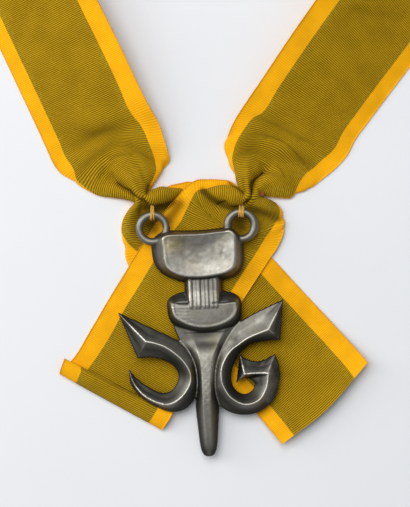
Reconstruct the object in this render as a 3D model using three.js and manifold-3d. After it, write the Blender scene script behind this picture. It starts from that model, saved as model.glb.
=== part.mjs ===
// A badge of office on a neck ribbon, lying face up on a table.
//
// One length of ribbed ribbon makes the neck loop and both tails. Each strap is gathered and sewn
// with thread to a ring of the pendant, and the ribbon runs on past the gather as a tail: the tails
// cross behind the pendant. Away from the pendant the loop slowly turns up on its outer edge, as a
// ribbon has to before it can bend round the back of a neck.
//
// Millimetres, +Z up. The pieces are laid out round the middle of the pendant's upper half, and the
// last lines move the whole badge so that its origin is the bottom centre of its box.

import * as THREE from 'three';
import { mergeVertices } from 'three/addons/utils/BufferGeometryUtils.js';
import Module from 'manifold-3d';

const wasm = await Module();
wasm.setup();

// ---- driving dimensions -------------------------------------------------------------------------

const RIBBON_WIDTH = 38;
const RIBBON_WALL = 1.0;
const BUNDLE = 4.0;             // thickness of the ribbon where it is bunched up and sewn
const GAP = 0.3;                // between pieces that touch
const MERGE = 1e-4;             // corners nearer than this are one

const NECK_RADIUS = 117;        // of the bend round the back of the neck
const TWIST_LENGTH = 120;       // along the bend, in which the ribbon turns up on edge
const STRAP_TILT = 16;          // degrees, of the two straps where the bend begins
const LOOP_STEP = 13;           // between sections of the bend

const UPPER_LAYER = RIBBON_WALL + GAP;                  // underside of the tail that lies on top
const PENDANT_BACK = UPPER_LAYER + RIBBON_WALL + GAP;   // underside of the pendant
const PENDANT_PLACE = [-2.0, -0.5];                     // middle of the pendant's head
const PENDANT_TURN = 2.58;                              // degrees, tip swung to the right

const EDGE_HEIGHT = 1.5;        // upright edge of the casting, all round
const HEAD_HEIGHT = 5.6;
const HEAD_DISH = 0.45;         // how far the polished face is hollowed
const DISC_HEIGHT = 4.8;
const NECK_HEIGHT = 4.2;
const FLUTES = 7;
const FLUTE_DEPTH = 0.4;
const RIDGE_HEIGHT = 4.4;       // sharp ridge along each arm

const RING_RADIUS = 4.5;        // to the middle of the wire
const RING_WIRE = 1.3;          // radius of the wire
const RING_HEIGHT = 2.2;        // middle of the wire above the pendant's back
const RING_LEFT = [-14.9, 9.5];
const RING_RIGHT = [14.4, 9.2];

const THREAD = 0.5;             // thickness of the lashings
const LASHING_LEFT = { width: 1.4, reach: 5.2 };    // reach is up the table from the ring's wire
const LASHING_RIGHT = { width: 2.0, reach: 3.4 };

const CURVE_POINTS = 3;         // on an outline, for each point given
const DISH_SHOULDER = { inward: 0.45, depth: 0.8 }; // where most of the dish's depth is reached
const RING_FACETS = 40;
const WIRE_FACETS = 12;

// ---- small helpers ------------------------------------------------------------------------------

const vec = (x, y, z = 0) => new THREE.Vector3(x, y, z);
const smooth = (t) => THREE.MathUtils.smoothstep(t, 0, 1);

// A closed surface from triangles given as corner points; corners that fall together are merged,
// triangles that close up to a line are left out, and the faces are turned to point outwards.
function closedSurface(triangles) {
  const kept = triangles.filter(([a, b, c]) => {
    return a.distanceTo(b) > MERGE && b.distanceTo(c) > MERGE && c.distanceTo(a) > MERGE;
  });
  const volume = kept.reduce((sum, [a, b, c]) => sum + a.dot(b.clone().cross(c)), 0);
  const turned = volume > 0 ? kept : kept.map(([a, b, c]) => [a, c, b]);
  return mergeVertices(new THREE.BufferGeometry().setFromPoints(turned.flat()), MERGE);
}

// Skin round a row of sections, each a closed ring of points, with a cap at both ends. cap lists the
// triangles of an end as corner numbers.
function skin(sections, cap) {
  const triangles = [];
  const count = sections[0].length;
  for (let i = 0; i + 1 < sections.length; i++) {
    for (let j = 0; j < count; j++) {
      const k = (j + 1) % count;
      const [a, b] = [sections[i][j], sections[i][k]];
      const [c, d] = [sections[i + 1][j], sections[i + 1][k]];
      triangles.push([a, b, c], [b, d, c]);
    }
  }
  const [first, last] = [sections[0], sections[sections.length - 1]];
  for (const [i, j, k] of cap) {
    triangles.push([first[i], first[k], first[j]], [last[i], last[j], last[k]]);
  }
  return closedSurface(triangles);
}

function fan(count) {
  return Array.from({ length: count - 2 }, (_, i) => [0, i + 1, i + 2]);
}

function toSolid(geometry) {
  const plain = geometry.clone();
  plain.deleteAttribute('normal');
  plain.deleteAttribute('uv');
  const merged = mergeVertices(plain, MERGE);
  return new wasm.Manifold(new wasm.Mesh({
    numProp: 3,
    vertProperties: new Float32Array(merged.attributes.position.array),
    triVerts: new Uint32Array(merged.index.array),
  }));
}

function joined(geometries) {
  const solid = geometries.map(toSolid).reduce((whole, piece) => whole.add(piece));
  const mesh = solid.getMesh();
  const geometry = new THREE.BufferGeometry();
  geometry.setAttribute('position', new THREE.BufferAttribute(new Float32Array(mesh.vertProperties), 3));
  geometry.setIndex(new THREE.BufferAttribute(new Uint32Array(mesh.triVerts), 1));
  return geometry;
}

function piece(name, geometry, color, roughness, metalness) {
  const flat = geometry.index ? geometry.toNonIndexed() : geometry;
  flat.computeVertexNormals();
  const material = new THREE.MeshStandardMaterial({ color, roughness, metalness });
  const mesh = new THREE.Mesh(flat, material);
  mesh.name = name;
  return mesh;
}

// ---- the pendant, in its own upright frame round the middle of its head -------------------------

// A raised block: outline on the back and up its edge, then a bevel to the face. Each row pairs a
// point of the face with the point of the outline that its bevel runs down to.
function raisedBlock(pairs, faceHeight, dish = 0) {
  const ring = (pick, height) => {
    const points = pairs.map((pair) => vec(...pair[pick], height));
    const curve = new THREE.CatmullRomCurve3(points, true, 'centripetal');
    return curve.getPoints(pairs.length * CURVE_POINTS).slice(0, -1);
  };
  const face = ring(0, faceHeight);
  const middle = face.reduce((sum, p) => sum.add(p), vec(0, 0)).divideScalar(face.length);
  const shoulder = faceHeight - DISH_SHOULDER.depth * dish;
  const inner = face.map((p) => p.clone().lerp(middle, DISH_SHOULDER.inward).setZ(shoulder));
  const heart = face.map(() => middle.clone().setZ(faceHeight - dish));
  return skin([ring(1, 0), ring(1, EDGE_HEIGHT), face, inner, heart], fan(face.length));
}

const HEAD = [
  [[-11.7, 6.2], [-15.3, 5.6]],
  [[-10.7, 6.9], [-11.0, 8.7]],
  [[-8.7, 7.1], [-8.8, 8.6]],
  [[0.6, 7.0], [0.7, 8.3]],
  [[8.0, 7.5], [8.6, 8.8]],
  [[11.0, 7.5], [10.4, 9.0]],
  [[12.1, 6.1], [14.7, 4.6]],
  [[12.2, 1.5], [14.9, 1.0]],
  [[11.9, -2.9], [14.7, -3.0]],
  [[11.1, -4.8], [13.8, -5.6]],
  [[8.7, -6.1], [11.0, -7.8]],
  [[5.0, -6.9], [5.9, -8.9]],
  [[0.0, -7.3], [-0.1, -9.3]],
  [[-5.0, -6.8], [-5.4, -8.8]],
  [[-8.3, -5.6], [-9.6, -7.3]],
  [[-10.5, -3.9], [-13.0, -5.1]],
  [[-11.4, -1.8], [-14.9, -2.3]],
  [[-11.7, 2.2], [-15.6, 1.5]],
];

const DISC = [
  [[-9.7, -15.6], [-11.0, -14.5]],
  [[-7.1, -16.2], [-8.2, -12.6]],
  [[-4.0, -16.4], [-4.9, -11.9]],
  [[1.0, -16.5], [1.2, -11.5]],
  [[5.6, -16.4], [7.8, -12.3]],
  [[9.6, -16.3], [11.1, -13.2]],
  [[11.6, -16.2], [13.0, -15.0]],
  [[11.7, -18.5], [13.4, -18.3]],
  [[10.8, -20.5], [12.9, -21.6]],
  [[8.7, -22.1], [10.6, -24.2]],
  [[5.3, -23.4], [6.4, -25.8]],
  [[0.6, -23.9], [0.7, -26.3]],
  [[-3.4, -23.2], [-4.2, -25.6]],
  [[-6.7, -21.7], [-8.4, -23.6]],
  [[-8.9, -20.0], [-10.6, -21.2]],
  [[-9.6, -17.9], [-11.3, -17.8]],
];

// The fluted bar between head and disc: its section is an upright-sided bar whose top has grooves.
function neckBar() {
  const places = [[-4.5, NECK_HEIGHT], [-12, NECK_HEIGHT], [-16.9, DISC_HEIGHT]];
  const sections = places.map(([y, top]) => {
    const grooves = [];
    for (let i = 0; i <= 2 * FLUTES; i++) {
      const x = THREE.MathUtils.lerp(-3.9, 5.8, i / (2 * FLUTES));
      grooves.push(vec(x, y, top - (i % 2) * FLUTE_DEPTH));
    }
    return [vec(7.4, y), vec(-5.3, y), vec(-5.3, y, EDGE_HEIGHT), ...grooves, vec(7.4, y, EDGE_HEIGHT)];
  });
  return skin(sections, fan(sections[0].length));
}

// The stem: a flat-topped bar with sloping sides. Each row is one cross-section: y, the foot of the
// left slope, the two edges of the top, the foot of the right slope, and the height of the top.
const STEM = [
  [-23.0, -9.6, -6.2, 8.2, 11.6, 2.9],
  [-28.6, -7.4, -3.0, 5.4, 9.0, 3.2],
  [-32.4, -5.0, -1.8, 3.6, 6.3, 4.2],
  [-36.7, -3.2, -1.0, 2.7, 4.4, 4.5],
  [-45.0, -2.8, -0.9, 1.9, 3.8, 4.4],
  [-50.4, -3.3, -0.9, 1.8, 4.4, 4.2],
  [-57.0, -2.9, -0.8, 1.7, 3.9, 3.8],
  [-63.0, -2.0, -0.3, 1.2, 3.0, 3.2],
  [-65.9, -1.0, 0.1, 0.9, 1.9, 2.4],
  [-66.9, 0.1, 0.4, 0.6, 0.9, 1.7],
];

function stem() {
  const sections = STEM.map(([y, a, b, c, d, top]) => [
    vec(d, y), vec(a, y), vec(a, y, EDGE_HEIGHT), vec(b, y, top), vec(c, y, top), vec(d, y, EDGE_HEIGHT),
  ]);
  return skin(sections, fan(6));
}

// A ridged arm: two slopes that meet in a sharp ridge. Each row is the outer foot, the ridge and the
// inner foot, and how high the ridge stands there as a share of its full height.
const RIDGE_CAP = [[0, 1, 3], [0, 3, 4], [1, 2, 3]];

function ridgeSections(rows) {
  return rows.map(([outer, ridge, inner, rise]) => [
    vec(...outer),
    vec(...outer, EDGE_HEIGHT),
    vec(...ridge, THREE.MathUtils.lerp(EDGE_HEIGHT, RIDGE_HEIGHT, rise)),
    vec(...inner, EDGE_HEIGHT),
    vec(...inner),
  ]);
}

// The same arm with its bends rounded: every corner of the section follows a smooth curve.
function roundedSections(rows, between) {
  const sections = ridgeSections(rows);
  const tracks = [0, 1, 2, 3, 4].map((corner) => {
    const curve = new THREE.CatmullRomCurve3(sections.map((s) => s[corner]), false, 'centripetal');
    return sections.flatMap((_, i) => {
      const last = i === sections.length - 1;
      const steps = last ? 1 : between;
      return Array.from({ length: steps }, (_, k) => curve.getPoint((i + k / steps) / (sections.length - 1)));
    });
  });
  return tracks[0].map((_, i) => tracks.map((track) => track[i]));
}

const LEFT_TIP = [[-27.8, -17.8], [-27.8, -17.8], [-27.8, -17.8], 0.1];
const LEFT_HOOK = [
  [[-17.4, -23.2], [-18.9, -27.8], [-21.9, -33.4], 1.0],
  [[-14.1, -24.9], [-16.0, -28.5], [-17.8, -33.2], 1.0],
  [[-10.2, -26.9], [-12.4, -30.0], [-14.5, -33.9], 1.0],
  [[-5.7, -29.8], [-8.8, -32.8], [-11.6, -35.2], 1.0],
  [[-2.5, -34.3], [-6.3, -35.6], [-9.7, -36.9], 1.0],
  [[-1.8, -39.0], [-4.6, -39.2], [-8.6, -39.3], 1.0],
  [[-2.0, -44.3], [-4.9, -42.5], [-8.9, -41.6], 1.0],
  [[-6.0, -50.3], [-8.6, -47.3], [-11.3, -44.6], 0.95],
  [[-10.9, -51.7], [-12.9, -49.0], [-14.1, -45.2], 0.9],
  [[-19.2, -47.9], [-19.8, -46.2], [-18.8, -42.9], 0.7],
  [[-24.3, -42.3], [-23.5, -41.6], [-22.7, -39.8], 0.4],
  [[-25.1, -36.9], [-25.0, -36.8], [-24.8, -36.9], 0.05],
];

const RIGHT_TIP = [[27.3, -15.9], [27.3, -15.9], [27.3, -15.9], 0.1];
const RIGHT_HOOK = [
  [[16.8, -20.4], [21.9, -25.7], [25.7, -29.2], 1.0],
  [[10.9, -23.8], [15.1, -28.2], [17.3, -30.0], 1.0],
  [[7.1, -28.0], [12.0, -30.1], [14.3, -31.3], 1.0],
  [[4.5, -32.6], [8.9, -32.3], [11.8, -33.4], 1.0],
  [[2.5, -39.2], [5.9, -37.5], [9.5, -37.8], 1.0],
  [[2.3, -45.8], [5.8, -42.6], [8.9, -42.4], 1.0],
  [[5.9, -51.3], [8.4, -47.5], [10.3, -45.4], 1.0],
  [[11.6, -53.6], [13.1, -50.1], [13.1, -46.8], 1.0],
  [[18.0, -52.8], [17.5, -49.0], [15.6, -45.7], 1.0],
  [[23.2, -48.1], [20.3, -45.0], [16.6, -43.6], 1.0],
  [[25.2, -40.8], [21.2, -40.2], [15.3, -41.9], 1.0],
];
// The hook's end: a fish tail with a hollowed top edge and a short ridge across.
const RIGHT_TAIL = [
  [[24.9, -37.6], [21.2, -40.2], [15.2, -41.8], 1.0],
  [[23.8, -33.9], [21.0, -40.2], [14.8, -41.7], 1.0],
  [[20.4, -35.6], [19.2, -40.1], [14.1, -41.6], 0.95],
  [[18.1, -36.2], [17.2, -40.0], [13.1, -41.6], 0.95],
  [[16.1, -35.9], [15.6, -40.0], [11.9, -41.9], 0.95],
  [[13.8, -35.0], [14.2, -40.1], [10.9, -42.5], 0.95],
  [[12.0, -33.6], [13.3, -40.1], [10.3, -43.2], 1.0],
];

function leftArm() {
  const sections = [...ridgeSections([LEFT_TIP]), ...roundedSections(LEFT_HOOK, 3)];
  return skin(sections, RIDGE_CAP);
}

function rightArm() {
  const hook = [...ridgeSections([RIGHT_TIP]), ...roundedSections(RIGHT_HOOK, 3)];
  return skin([...hook, ...ridgeSections(RIGHT_TAIL)], RIDGE_CAP);
}

function ring([x, y]) {
  const wire = [];
  for (let i = 0; i <= WIRE_FACETS; i++) {
    const angle = (i / WIRE_FACETS) * 2 * Math.PI;
    wire.push(new THREE.Vector2(RING_RADIUS + RING_WIRE * Math.cos(angle), RING_WIRE * Math.sin(angle)));
  }
  const geometry = new THREE.LatheGeometry(wire, RING_FACETS);
  geometry.rotateX(Math.PI / 2);
  geometry.translate(x, y, RING_HEIGHT);
  return geometry;
}

function pendant() {
  const casting = joined([
    raisedBlock(HEAD, HEAD_HEIGHT, HEAD_DISH),
    raisedBlock(DISC, DISC_HEIGHT),
    neckBar(),
    stem(),
    leftArm(),
    rightArm(),
    ring(RING_LEFT),
    ring(RING_RIGHT),
  ]);
  casting.rotateZ(THREE.MathUtils.degToRad(PENDANT_TURN));
  casting.translate(...PENDANT_PLACE, PENDANT_BACK);
  return casting;
}

// ---- the ribbon ---------------------------------------------------------------------------------
//
// Walking along the ribbon from the hemmed tail, up the right strap, round the neck and down the left
// strap to the cut tail, the inner edge is always on the left hand. A section is written as
// [inner x, y, z], [outer x, y, z], thickness, and how far the middle of the section is bowed in x, y.

// The hemmed tail, from its hem to the right gather. It lies on top of the other tail.
const HEMMED_TAIL = [
  [[-43.3, -34.8], [-11.2, -52.3], RIBBON_WALL],
  [[-31.7, -14.8], [0.3, -34.5], RIBBON_WALL],
  [[-22.7, -0.8], [9.7, -20.8], RIBBON_WALL],
  [[-15.7, 10.2], [17.7, -7.8], RIBBON_WALL],
  [[-11.7, 15.5], [22.6, 0.2], RIBBON_WALL, [-1.0, -2.0]],
  [[-8.3, 19.8], [25.7, 5.2], RIBBON_WALL, [-1.5, -3.5]],
  [[-5.0, 23.5], [26.3, 9.5], RIBBON_WALL, [-2.0, -4.5]],
  [[-1.0, 24.5], [25.3, 12.8], RIBBON_WALL, [-2.0, -5.0]],
  [[4.3, 24.2], [23.3, 15.5], RIBBON_WALL, [-1.0, -4.6]],
  [[8.6, 22.0], [20.7, 16.9], 1.1, [-0.5, -3.0]],
  [[11.4, 18.2], [18.3, 17.2], BUNDLE - UPPER_LAYER],
];

// The right strap, from its gather up to where its edges run straight.
const RIGHT_STRAP = [
  [[12.0, 19.2, 0], [18.3, 18.2, 0], BUNDLE],
  [[11.3, 23.8, 0], [19.7, 19.0, 0], 3.0],
  [[10.0, 27.8, 0], [22.7, 18.8, 0], 2.0],
  [[8.3, 31.8, 0], [26.7, 19.2, 0], 1.4],
  [[7.0, 35.2, 0], [31.0, 20.5, 0], RIBBON_WALL],
  [[6.7, 38.5, 0.6], [36.0, 22.2, 0], RIBBON_WALL],
  [[9.0, 43.5, 1.5], [40.0, 25.2, 0], RIBBON_WALL],
  [[13.3, 49.5, 3.0], [43.3, 28.5, 0], RIBBON_WALL],
  [[25.0, 66.8, 6.0], [54.4, 44.2, 0], RIBBON_WALL],
];

// The left strap, from where its edges run straight down to its gather.
const LEFT_STRAP = [
  [[-36.0, 84.5, 10.4], [-68.3, 68.5, 0], RIBBON_WALL],
  [[-27.0, 66.2, 9.0], [-60.0, 50.8, 0], RIBBON_WALL],
  [[-22.8, 57.2, 8.0], [-55.8, 41.8, 0], RIBBON_WALL],
  [[-18.7, 48.2, 6.5], [-51.7, 32.8, 0], RIBBON_WALL],
  [[-15.7, 42.8, 4.5], [-49.0, 28.5, 0], RIBBON_WALL],
  [[-13.3, 36.2, 2.5], [-46.3, 25.5, 0], RIBBON_WALL],
  [[-12.3, 31.8, 1.0], [-41.7, 22.5, 0], RIBBON_WALL],
  [[-13.0, 29.5, 0.4], [-36.7, 20.5, 0], 1.4],
  [[-15.7, 27.2, 0], [-31.0, 18.8, 0], 2.0],
  [[-17.3, 23.8, 0], [-26.7, 18.2, 0], 3.0],
  [[-18.3, 21.2, 0], [-23.0, 16.8, 0], BUNDLE],
];

// The cut tail, from the left gather to its raw end, which curls up a little off the table.
const CUT_TAIL = [
  [[-17.4, 20.3, 0], [-22.4, 15.6, 0], BUNDLE],
  [[-14.6, 21.3, 0], [-25.0, 13.9, 0], 1.8, [1.6, -1.8]],
  [[-10.7, 22.2, 0], [-27.3, 11.2, 0], RIBBON_WALL, [2.4, -2.8]],
  [[-5.7, 21.2, 0], [-27.7, 7.2, 0], RIBBON_WALL, [2.6, -3.0]],
  [[-0.7, 19.5, 0], [-26.7, 1.2, 0], RIBBON_WALL, [2.2, -2.6]],
  [[4.0, 16.5, 0], [-25.3, -3.5, 0], RIBBON_WALL, [1.4, -1.6]],
  [[8.7, 12.2, 0], [-22.3, -8.2, 0], RIBBON_WALL, [0.6, -0.8]],
  [[14.7, 5.8, 0], [-15.7, -16.5, 0], RIBBON_WALL],
  [[37.0, -19.2, 0], [8.3, -44.2, 0], RIBBON_WALL],
  [[46.0, -28.2, 1.0], [17.5, -54.6, 0.8], RIBBON_WALL],
  [[53.6, -36.3, 3.4], [25.8, -63.2, 3.0], RIBBON_WALL],
];

const FACETS_ACROSS = 6;

// More sections between the given ones, so that edges and bows run as smooth curves.
function smoothed(sections, steps) {
  const tracks = [0, 1, 2, 3].map((part) => {
    const points = sections.map((section) => vec(...[section[part] ?? [0, 0]].flat()));
    return new THREE.CatmullRomCurve3(points, false, 'centripetal');
  });
  const last = sections.length - 1;
  return Array.from({ length: last * steps + 1 }, (_, i) => {
    const [inner, outer, wall, bow] = tracks.map((track) => track.getPoint(i / (last * steps)));
    return [inner.toArray(), outer.toArray(), wall.x, bow.toArray()];
  });
}

// A ribbon through a row of sections. surface(point) may lift its points off the table.
function ribbon(sections, surface = (point) => point) {
  const grid = sections.map(([inner, outer, , bow = [0, 0]]) => {
    const row = [];
    for (let i = 0; i <= FACETS_ACROSS; i++) {
      const share = i / FACETS_ACROSS;
      const point = vec(...inner).lerp(vec(...outer), share);
      point.addScaledVector(vec(...bow), 4 * share * (1 - share));
      row.push(surface(point.setZ(Math.max(point.z, 0))));
    }
    return row;
  });
  const rings = grid.map((row, i) => {
    const before = grid[Math.max(i - 1, 0)][FACETS_ACROSS / 2];
    const after = grid[Math.min(i + 1, grid.length - 1)][FACETS_ACROSS / 2];
    const along = after.clone().sub(before);
    const upper = row.map((point, j) => {
      const across = row[Math.max(j - 1, 0)].clone().sub(row[Math.min(j + 1, FACETS_ACROSS)]);
      const normal = along.clone().cross(across).normalize();
      return point.clone().addScaledVector(normal, sections[i][2]);
    });
    return [...row, ...upper.reverse()];
  });
  const strip = [];
  for (let j = 0; j < FACETS_ACROSS; j++) {
    const far = 2 * FACETS_ACROSS + 1 - j;
    strip.push([j, j + 1, far], [j + 1, far - 1, far]);
  }
  return skin(rings, strip);
}

// Where two lines in the table's plane cross, each given by a point and a direction.
function crossing(p, d, q, e) {
  const t = ((q.x - p.x) * e.y - (q.y - p.y) * e.x) / (d.x * e.y - d.y * e.x);
  return p.clone().addScaledVector(d, t);
}

// Sections of the neck's bend. Its outer edge stays on the table and runs round an arc that both
// straps meet as tangents; the inner edge rises until the ribbon stands upright.
function neckBend(rightRow, leftRow, rightBefore, leftAfter) {
  const right = vec(rightRow[1][0], rightRow[1][1]);
  const left = vec(leftRow[1][0], leftRow[1][1]);
  const rightWay = right.clone().sub(vec(rightBefore[1][0], rightBefore[1][1])).normalize();
  const leftWay = left.clone().sub(vec(leftAfter[1][0], leftAfter[1][1])).normalize();
  const apex = crossing(right, rightWay, left, leftWay);
  const half = rightWay.angleTo(leftWay) / 2;
  const reach = NECK_RADIUS / Math.tan(half);
  const middleWay = rightWay.clone().add(leftWay).normalize();
  const centre = apex.clone().addScaledVector(middleWay, NECK_RADIUS / Math.sin(half));
  const start = apex.clone().addScaledVector(rightWay, reach).sub(centre);
  const turn = Math.PI + 2 * half;
  const length = turn * NECK_RADIUS;
  const count = Math.round(length / LOOP_STEP);
  const rows = [];
  for (let i = 0; i <= count; i++) {
    const outward = start.clone().applyAxisAngle(vec(0, 0, 1), (turn * i) / count).normalize();
    const along = (length * i) / count;
    const twist = smooth(Math.min(along, length - along) / TWIST_LENGTH);
    const tilt = THREE.MathUtils.degToRad(THREE.MathUtils.lerp(STRAP_TILT, 90, twist));
    const outer = centre.clone().addScaledVector(outward, NECK_RADIUS);
    const inner = outer.clone().addScaledVector(outward, -RIBBON_WIDTH * Math.cos(tilt));
    inner.z = RIBBON_WIDTH * Math.sin(tilt);
    rows.push([inner.toArray(), outer.toArray(), RIBBON_WALL]);
  }
  return rows;
}

function neckLoop() {
  const topRight = RIGHT_STRAP[RIGHT_STRAP.length - 1];
  const bend = neckBend(topRight, LEFT_STRAP[0], RIGHT_STRAP[RIGHT_STRAP.length - 2], LEFT_STRAP[1]);
  return ribbon([...smoothed(RIGHT_STRAP, 2), ...bend, ...smoothed(LEFT_STRAP, 2)]);
}

// The upper tail rests on the lower one and comes down to the table past that one's edge.
const LOWER_EDGE = vec(-25.3, -3.5);
const OFF_LOWER = vec(-0.771, -0.636);

function onLowerTail(point) {
  const past = point.clone().sub(LOWER_EDGE).dot(OFF_LOWER);
  return point.setZ(UPPER_LAYER * (1 - smooth((past - 3) / 10)));
}

// The hem: the tail's end is rolled over into a flat fold. Each end of the roll is a rounded
// section, and the roll stands a little proud of the ribbon's inner edge.
function hemRoll() {
  const ends = [
    { upper: vec(-46.2, -35.2), lower: vec(-47.9, -39.3) },
    { upper: vec(-11.2, -50.9), lower: vec(-14.9, -58.6) },
  ];
  const profile = [[0, 0], [1, 0], [1.04, 1.0], [0.97, 2.2], [0.5, 2.8], [0.08, 2.5], [-0.02, 1.2]];
  const sections = ends.map(({ upper, lower }) => profile.map(([share, height]) => {
    return upper.clone().lerp(lower, share).setZ(height);
  }));
  return skin(sections, fan(profile.length));
}

function hemmedTail() {
  return joined([ribbon(smoothed(HEMMED_TAIL, 3), onLowerTail), hemRoll()]);
}

// ---- the thread lashings ------------------------------------------------------------------------

// A loop with round ends, as points: round the origin at one end and reaching length away from it.
function loopOutline(radius, length) {
  const outline = new THREE.Path();
  outline.absarc(0, 0, radius, Math.PI / 2, 1.5 * Math.PI);
  outline.absarc(length, 0, radius, -Math.PI / 2, Math.PI / 2);
  return outline;
}

// Several turns of thread through a ring and into the gather: a flat band round the ring's wire.
function lashing([x, y], { width, reach }) {
  const inside = RING_WIRE + GAP;
  const outside = inside + THREAD;
  const length = reach - outside;
  const band = new THREE.Shape(loopOutline(outside, length).getPoints(8));
  band.holes.push(loopOutline(inside, length));
  const geometry = new THREE.ExtrudeGeometry(band, { depth: width, bevelEnabled: false, curveSegments: 8 });
  geometry.translate(0, 0, -width / 2);
  // the loop is drawn in x and y: x turns to run up the table, y to stand up
  geometry.applyMatrix4(new THREE.Matrix4().makeBasis(vec(0, 1, 0), vec(0, 0, 1), vec(1, 0, 0)));
  geometry.translate(x, y, PENDANT_BACK + RING_HEIGHT);
  return geometry;
}

// Middle of the wire at the top of a ring, once the pendant is turned and placed.
function ringTop([x, y]) {
  const centre = vec(x, y).applyAxisAngle(vec(0, 0, 1), THREE.MathUtils.degToRad(PENDANT_TURN));
  return [centre.x + PENDANT_PLACE[0], centre.y + PENDANT_PLACE[1] + RING_RADIUS];
}

// ---- the badge ----------------------------------------------------------------------------------

const RIBBON_COLOR = '#8f7312';
const THREAD_COLOR = '#e6b422';

const badge = new THREE.Group();
badge.add(piece('pendant', pendant(), '#5c5a57', 0.35, 1.0));
badge.add(piece('ribbon_neck_loop', neckLoop(), RIBBON_COLOR, 0.8, 0));
badge.add(piece('ribbon_hemmed_tail', hemmedTail(), RIBBON_COLOR, 0.8, 0));
badge.add(piece('ribbon_cut_tail', ribbon(smoothed(CUT_TAIL, 2)), RIBBON_COLOR, 0.8, 0));
badge.add(piece('thread_left', lashing(ringTop(RING_LEFT), LASHING_LEFT), THREAD_COLOR, 0.6, 0));
badge.add(piece('thread_right', lashing(ringTop(RING_RIGHT), LASHING_RIGHT), THREAD_COLOR, 0.6, 0));

const box = new THREE.Box3().setFromObject(badge);
const middle = box.getCenter(vec(0, 0));
badge.position.set(-middle.x, -middle.y, -box.min.z);

export default badge;
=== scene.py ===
# %% [markdown]
# # A badge of office on its ribbon
# A cast pewter badge hangs from a yellow-edged olive ribbon. The ribbon is one length: it leaves
# its hem, is gathered and sewn at the right ring, goes round the neck, comes back to the left
# ring, is gathered again and ends in a raw cut. Each part below is built from what it really is:
# the badge as a casting, the ribbon as one woven strip that is laid, and the thread as wound
# strands.

# %% The frame and the tools
import math

import bpy
import numpy as np
from mathutils import Matrix, Vector, noise


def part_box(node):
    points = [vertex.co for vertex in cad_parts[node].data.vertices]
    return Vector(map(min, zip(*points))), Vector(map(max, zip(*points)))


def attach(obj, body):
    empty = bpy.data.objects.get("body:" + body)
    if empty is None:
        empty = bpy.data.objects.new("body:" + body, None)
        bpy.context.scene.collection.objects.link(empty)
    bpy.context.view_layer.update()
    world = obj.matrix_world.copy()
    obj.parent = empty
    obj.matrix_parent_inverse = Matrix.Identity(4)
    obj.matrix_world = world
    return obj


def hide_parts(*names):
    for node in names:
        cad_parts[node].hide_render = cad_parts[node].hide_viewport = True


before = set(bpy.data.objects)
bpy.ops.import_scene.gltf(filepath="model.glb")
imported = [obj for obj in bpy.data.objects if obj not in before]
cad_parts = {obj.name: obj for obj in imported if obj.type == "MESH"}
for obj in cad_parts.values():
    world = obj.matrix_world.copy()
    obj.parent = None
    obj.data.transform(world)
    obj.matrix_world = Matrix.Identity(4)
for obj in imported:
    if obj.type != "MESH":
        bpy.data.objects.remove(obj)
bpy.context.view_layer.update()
MM = 0.001

# %% [markdown]
# ## Where things are
# The numbers below are in millimetres round a point just above the middle of the badge, because
# that is how the ribbon was laid out. The frame puts its own origin under the middle of the whole
# thing. The badge's own box says how far apart the two are, so nothing has to be fitted by eye.

# %% From the layout to the frame
BADGE_LOW = np.array((-28.97, -67.33, 2.60))      # lowest corner of the badge in the layout
LAYOUT_AT = np.array(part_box("pendant")[0]) / MM - BADGE_LOW
print("layout origin in the frame, mm:", LAYOUT_AT.round(2))


def to_frame(points):
    """Layout millimetres to frame metres."""
    return (np.asarray(points, dtype=float) + LAYOUT_AT) * MM


def add_object(name, data):
    """An object in the scene that holds the given mesh, light or camera."""
    thing = bpy.data.objects.new(name, data)
    bpy.context.scene.collection.objects.link(thing)
    return thing


# %% [markdown]
# ## Camera and floor
# The badge lies flat and is looked at from straight above. A long lens from nearly a metre away
# keeps the raised strap edges from looking bigger than the rest. The camera is made first, because
# all the rest is judged through it.

# %% Camera looking straight down
VIEW_TALL = 0.169       # metres of table from the top to the bottom of the frame
CAMERA_HIGH = 0.9
SENSOR = 36.0
MIDDLE = Vector(to_frame((0, 0, 0)))
camera_data = bpy.data.cameras.new("overhead")
camera_data.sensor_fit = "VERTICAL"
camera_data.sensor_height = SENSOR
camera_data.lens = SENSOR * CAMERA_HIGH / VIEW_TALL
camera_data.clip_end = 20
camera = add_object("overhead", camera_data)
camera.location = (*MIDDLE[:2], CAMERA_HIGH)
bpy.context.scene.camera = camera
bpy.context.scene.view_settings.view_transform = "Standard"
print("lens, mm:", round(camera_data.lens, 1))

# %% [markdown]
# ### Helpers for finishes
# Every finish below is a tree of nodes. Built one node at a time such a tree is long to read, so a
# few helpers make a node, feed its inputs and hand back its result in one line each.


# %% Nodes in one line each
def plug(tree, node, inputs):
    """Feeds a node's inputs, given by number or name, from other nodes or with plain values."""
    for key, value in inputs.items():
        if isinstance(value, bpy.types.NodeSocket):
            tree.links.new(value, node.inputs[key])
        else:
            node.inputs[key].default_value = value


def add_node(tree, kind, inputs=None, **settings):
    node = tree.nodes.new(kind)
    for key, value in settings.items():
        setattr(node, key, value)
    plug(tree, node, inputs or {})
    return node


def new_material(name):
    material = bpy.data.materials.new(name)
    material.use_nodes = True
    tree = material.node_tree
    shader = next(node for node in tree.nodes if node.type == "BSDF_PRINCIPLED")
    return material, tree, shader


def math_node(tree, operation, a, b=0.0, c=0.0):
    return add_node(tree, "ShaderNodeMath", {0: a, 1: b, 2: c}, operation=operation).outputs[0]


def colour_mix(tree, share, a, b, blend="MIX"):
    """Colours a and b mixed. The node has sockets for other kinds too, so these go by number."""
    inputs = {0: share, 6: a, 7: b}
    return add_node(tree, "ShaderNodeMix", inputs, data_type="RGBA", blend_type=blend).outputs[2]


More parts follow.
